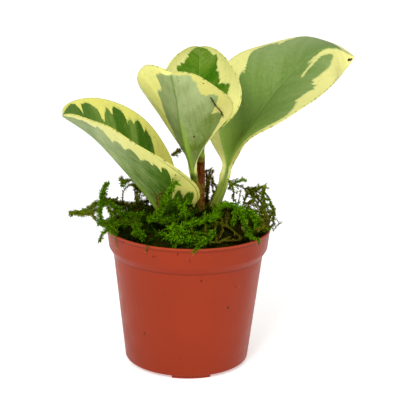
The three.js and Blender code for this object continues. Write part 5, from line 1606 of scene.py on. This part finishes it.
def moss_base(pile):
    """The body under the loose strands, painted near-black as the shade inside the moss."""
    turn = turns(MAT_SIDES)
    edge = moss_edge(turn)

    def over_soil(x, y):
        return soil_top(x, y) + 0.2

    def under_strands(x, y):
        sink = MAT_SINK + MAT_LUMP * lumps(x, y, SEEDS["mat_lumps"], MAT_LUMP_PITCH)
        return np.maximum(moss_top(x, y) - sink, soil_top(x, y) + 0.5)

    under = np.linspace(MAT_INNER, MAT_OUTER, MAT_UNDER_ROWS)
    over = np.linspace(MAT_OUTER, MAT_INNER, MAT_TOP_ROWS)
    rings = [ring(turn, share * edge, over_soil) for share in under]
    rings += [ring(turn, share * edge, under_strands) for share in over]
    pile.add(*skin(np.array(rings)), tone=0.7, shade=0.02, tip=0.0)


def make_mat(look):
    rng = np.random.default_rng(SEEDS["mat"])
    pile = Pile()
    moss_base(pile)
    for _ in range(MAT_STRANDS):
        radius = MAT_REACH * math.sqrt(rng.uniform(0.02, 1))
        turn = rng.uniform(0, 2 * np.pi)
        x, y = radius * math.cos(turn), radius * math.sin(turn)
        tone, light = region(x, y)
        route = wander((x, y), rng.uniform(0, 2 * np.pi), rng.uniform(*MAT_LENGTHS), rng,
                       rise=rng.uniform(*MAT_RISES), lift=rng.uniform(*MAT_LIFTS))
        size = rng.uniform(*MAT_SIZES)
        tone = tone + rng.normal(0, 0.1)
        light = light * 2 * rng.uniform(0.2, 1) ** 2
        route = with_radius(route, size, 0.6 * size)
        fuzz(pile, route, rng, tone, MAT_COVER, light, MAT_LEAF)
        twigs(pile, route, rng, tone, cover=MAT_COVER, light=light, **MAT_TWIGS)
    mesh_piece("moss_mat", pile, look, "moss")


def make_strands(name, look, seed, starts, slim, cover, leaf, pitch, length, radius,
                 light=1.0, core=STALK_RADIUS, with_tangle=False):
    """The strands whose names start with the given words, with their twigs, as one piece."""
    rng = np.random.default_rng(seed)
    pile = Pile()
    for key, (tone, first, last, points) in STRANDS.items():
        if not key.startswith(starts):
            continue
        thread = max(first, last) < THREAD_RADIUS
        share = 1 if thread else slim
        route = with_radius(points, share * first, share * last)
        fuzz(pile, route, rng, tone, cover, light, leaf, core)
        if not thread:
            size = 0.5 * (first + last)
            twigs(pile, route, rng, tone, pitch, length * (0.4 + 0.3 * size), radius, cover, light, leaf)
    if with_tangle:
        make_tangle(pile)
    mesh_piece(name, pile, look, "moss")


def make_tangle(pile):
    """Thin dry twigs that cross each other at the right, between the larger strands there."""
    rng = np.random.default_rng(SEEDS["tangle"])
    web = [np.array(STRANDS[key][3], float) for key in STRANDS if key.startswith("right_web")]
    for number in range(TANGLE_TWIGS):
        first = web[rng.integers(len(web))]
        second = web[rng.integers(len(web))]
        start = spline(first, rng.uniform(0, 1)) + rng.normal(0, 1, 3)
        end = spline(second, rng.uniform(0, 1)) + rng.normal(0, 1, 3)
        way = unit(end - start)
        span = min(np.linalg.norm(end - start), rng.uniform(*TANGLE_SPANS))
        middle = start + 0.5 * span * way + rng.normal(0, 0.12 * span, 3)
        end = start + span * way
        radius = rng.uniform(*TANGLE_RADII)
        route = np.array([[*start, radius], [*middle, 1.2 * radius], [*end, 0.7 * radius]])
        # The deeper twigs are painted dark, as shade
        if number < SHADED_TWIGS:
            route[:, 1] += SHADED_TWIG_DEPTH
            fuzz(pile, route, rng, 0.7, 1.8, 0.2, 0.7)
        else:
            fuzz(pile, route, rng, rng.uniform(0.3, 0.7), 2.0, rng.uniform(0.4, 2.2), 0.8, 0.5)


def make_buds():
    """Pale buds at the ends of a few strands."""
    rng = np.random.default_rng(SEEDS["buds"])
    pile = Pile()
    for x, y, z, reach, climb in BUDS:
        route = [[x - reach, y, z - climb, 0.5], [x, y, z, 0.9], [x + reach, y, z + climb, 0.4]]
        fuzz(pile, route, rng, 0.3, 2.4, 1.4, 1.5)
    mesh_piece("moss_buds", pile, moss_material("moss_bud"), "moss")


def make_moss():
    look = moss_material("moss")
    make_mat(look)
    for name, settings in MOSS_PIECES.items():
        make_strands(name, look, **settings)
    make_buds()


make_camera()
make_studio()
make_floor()
make_pot()
make_soil()
make_stem()
make_leaves()
make_leaf_twig()
make_moss()
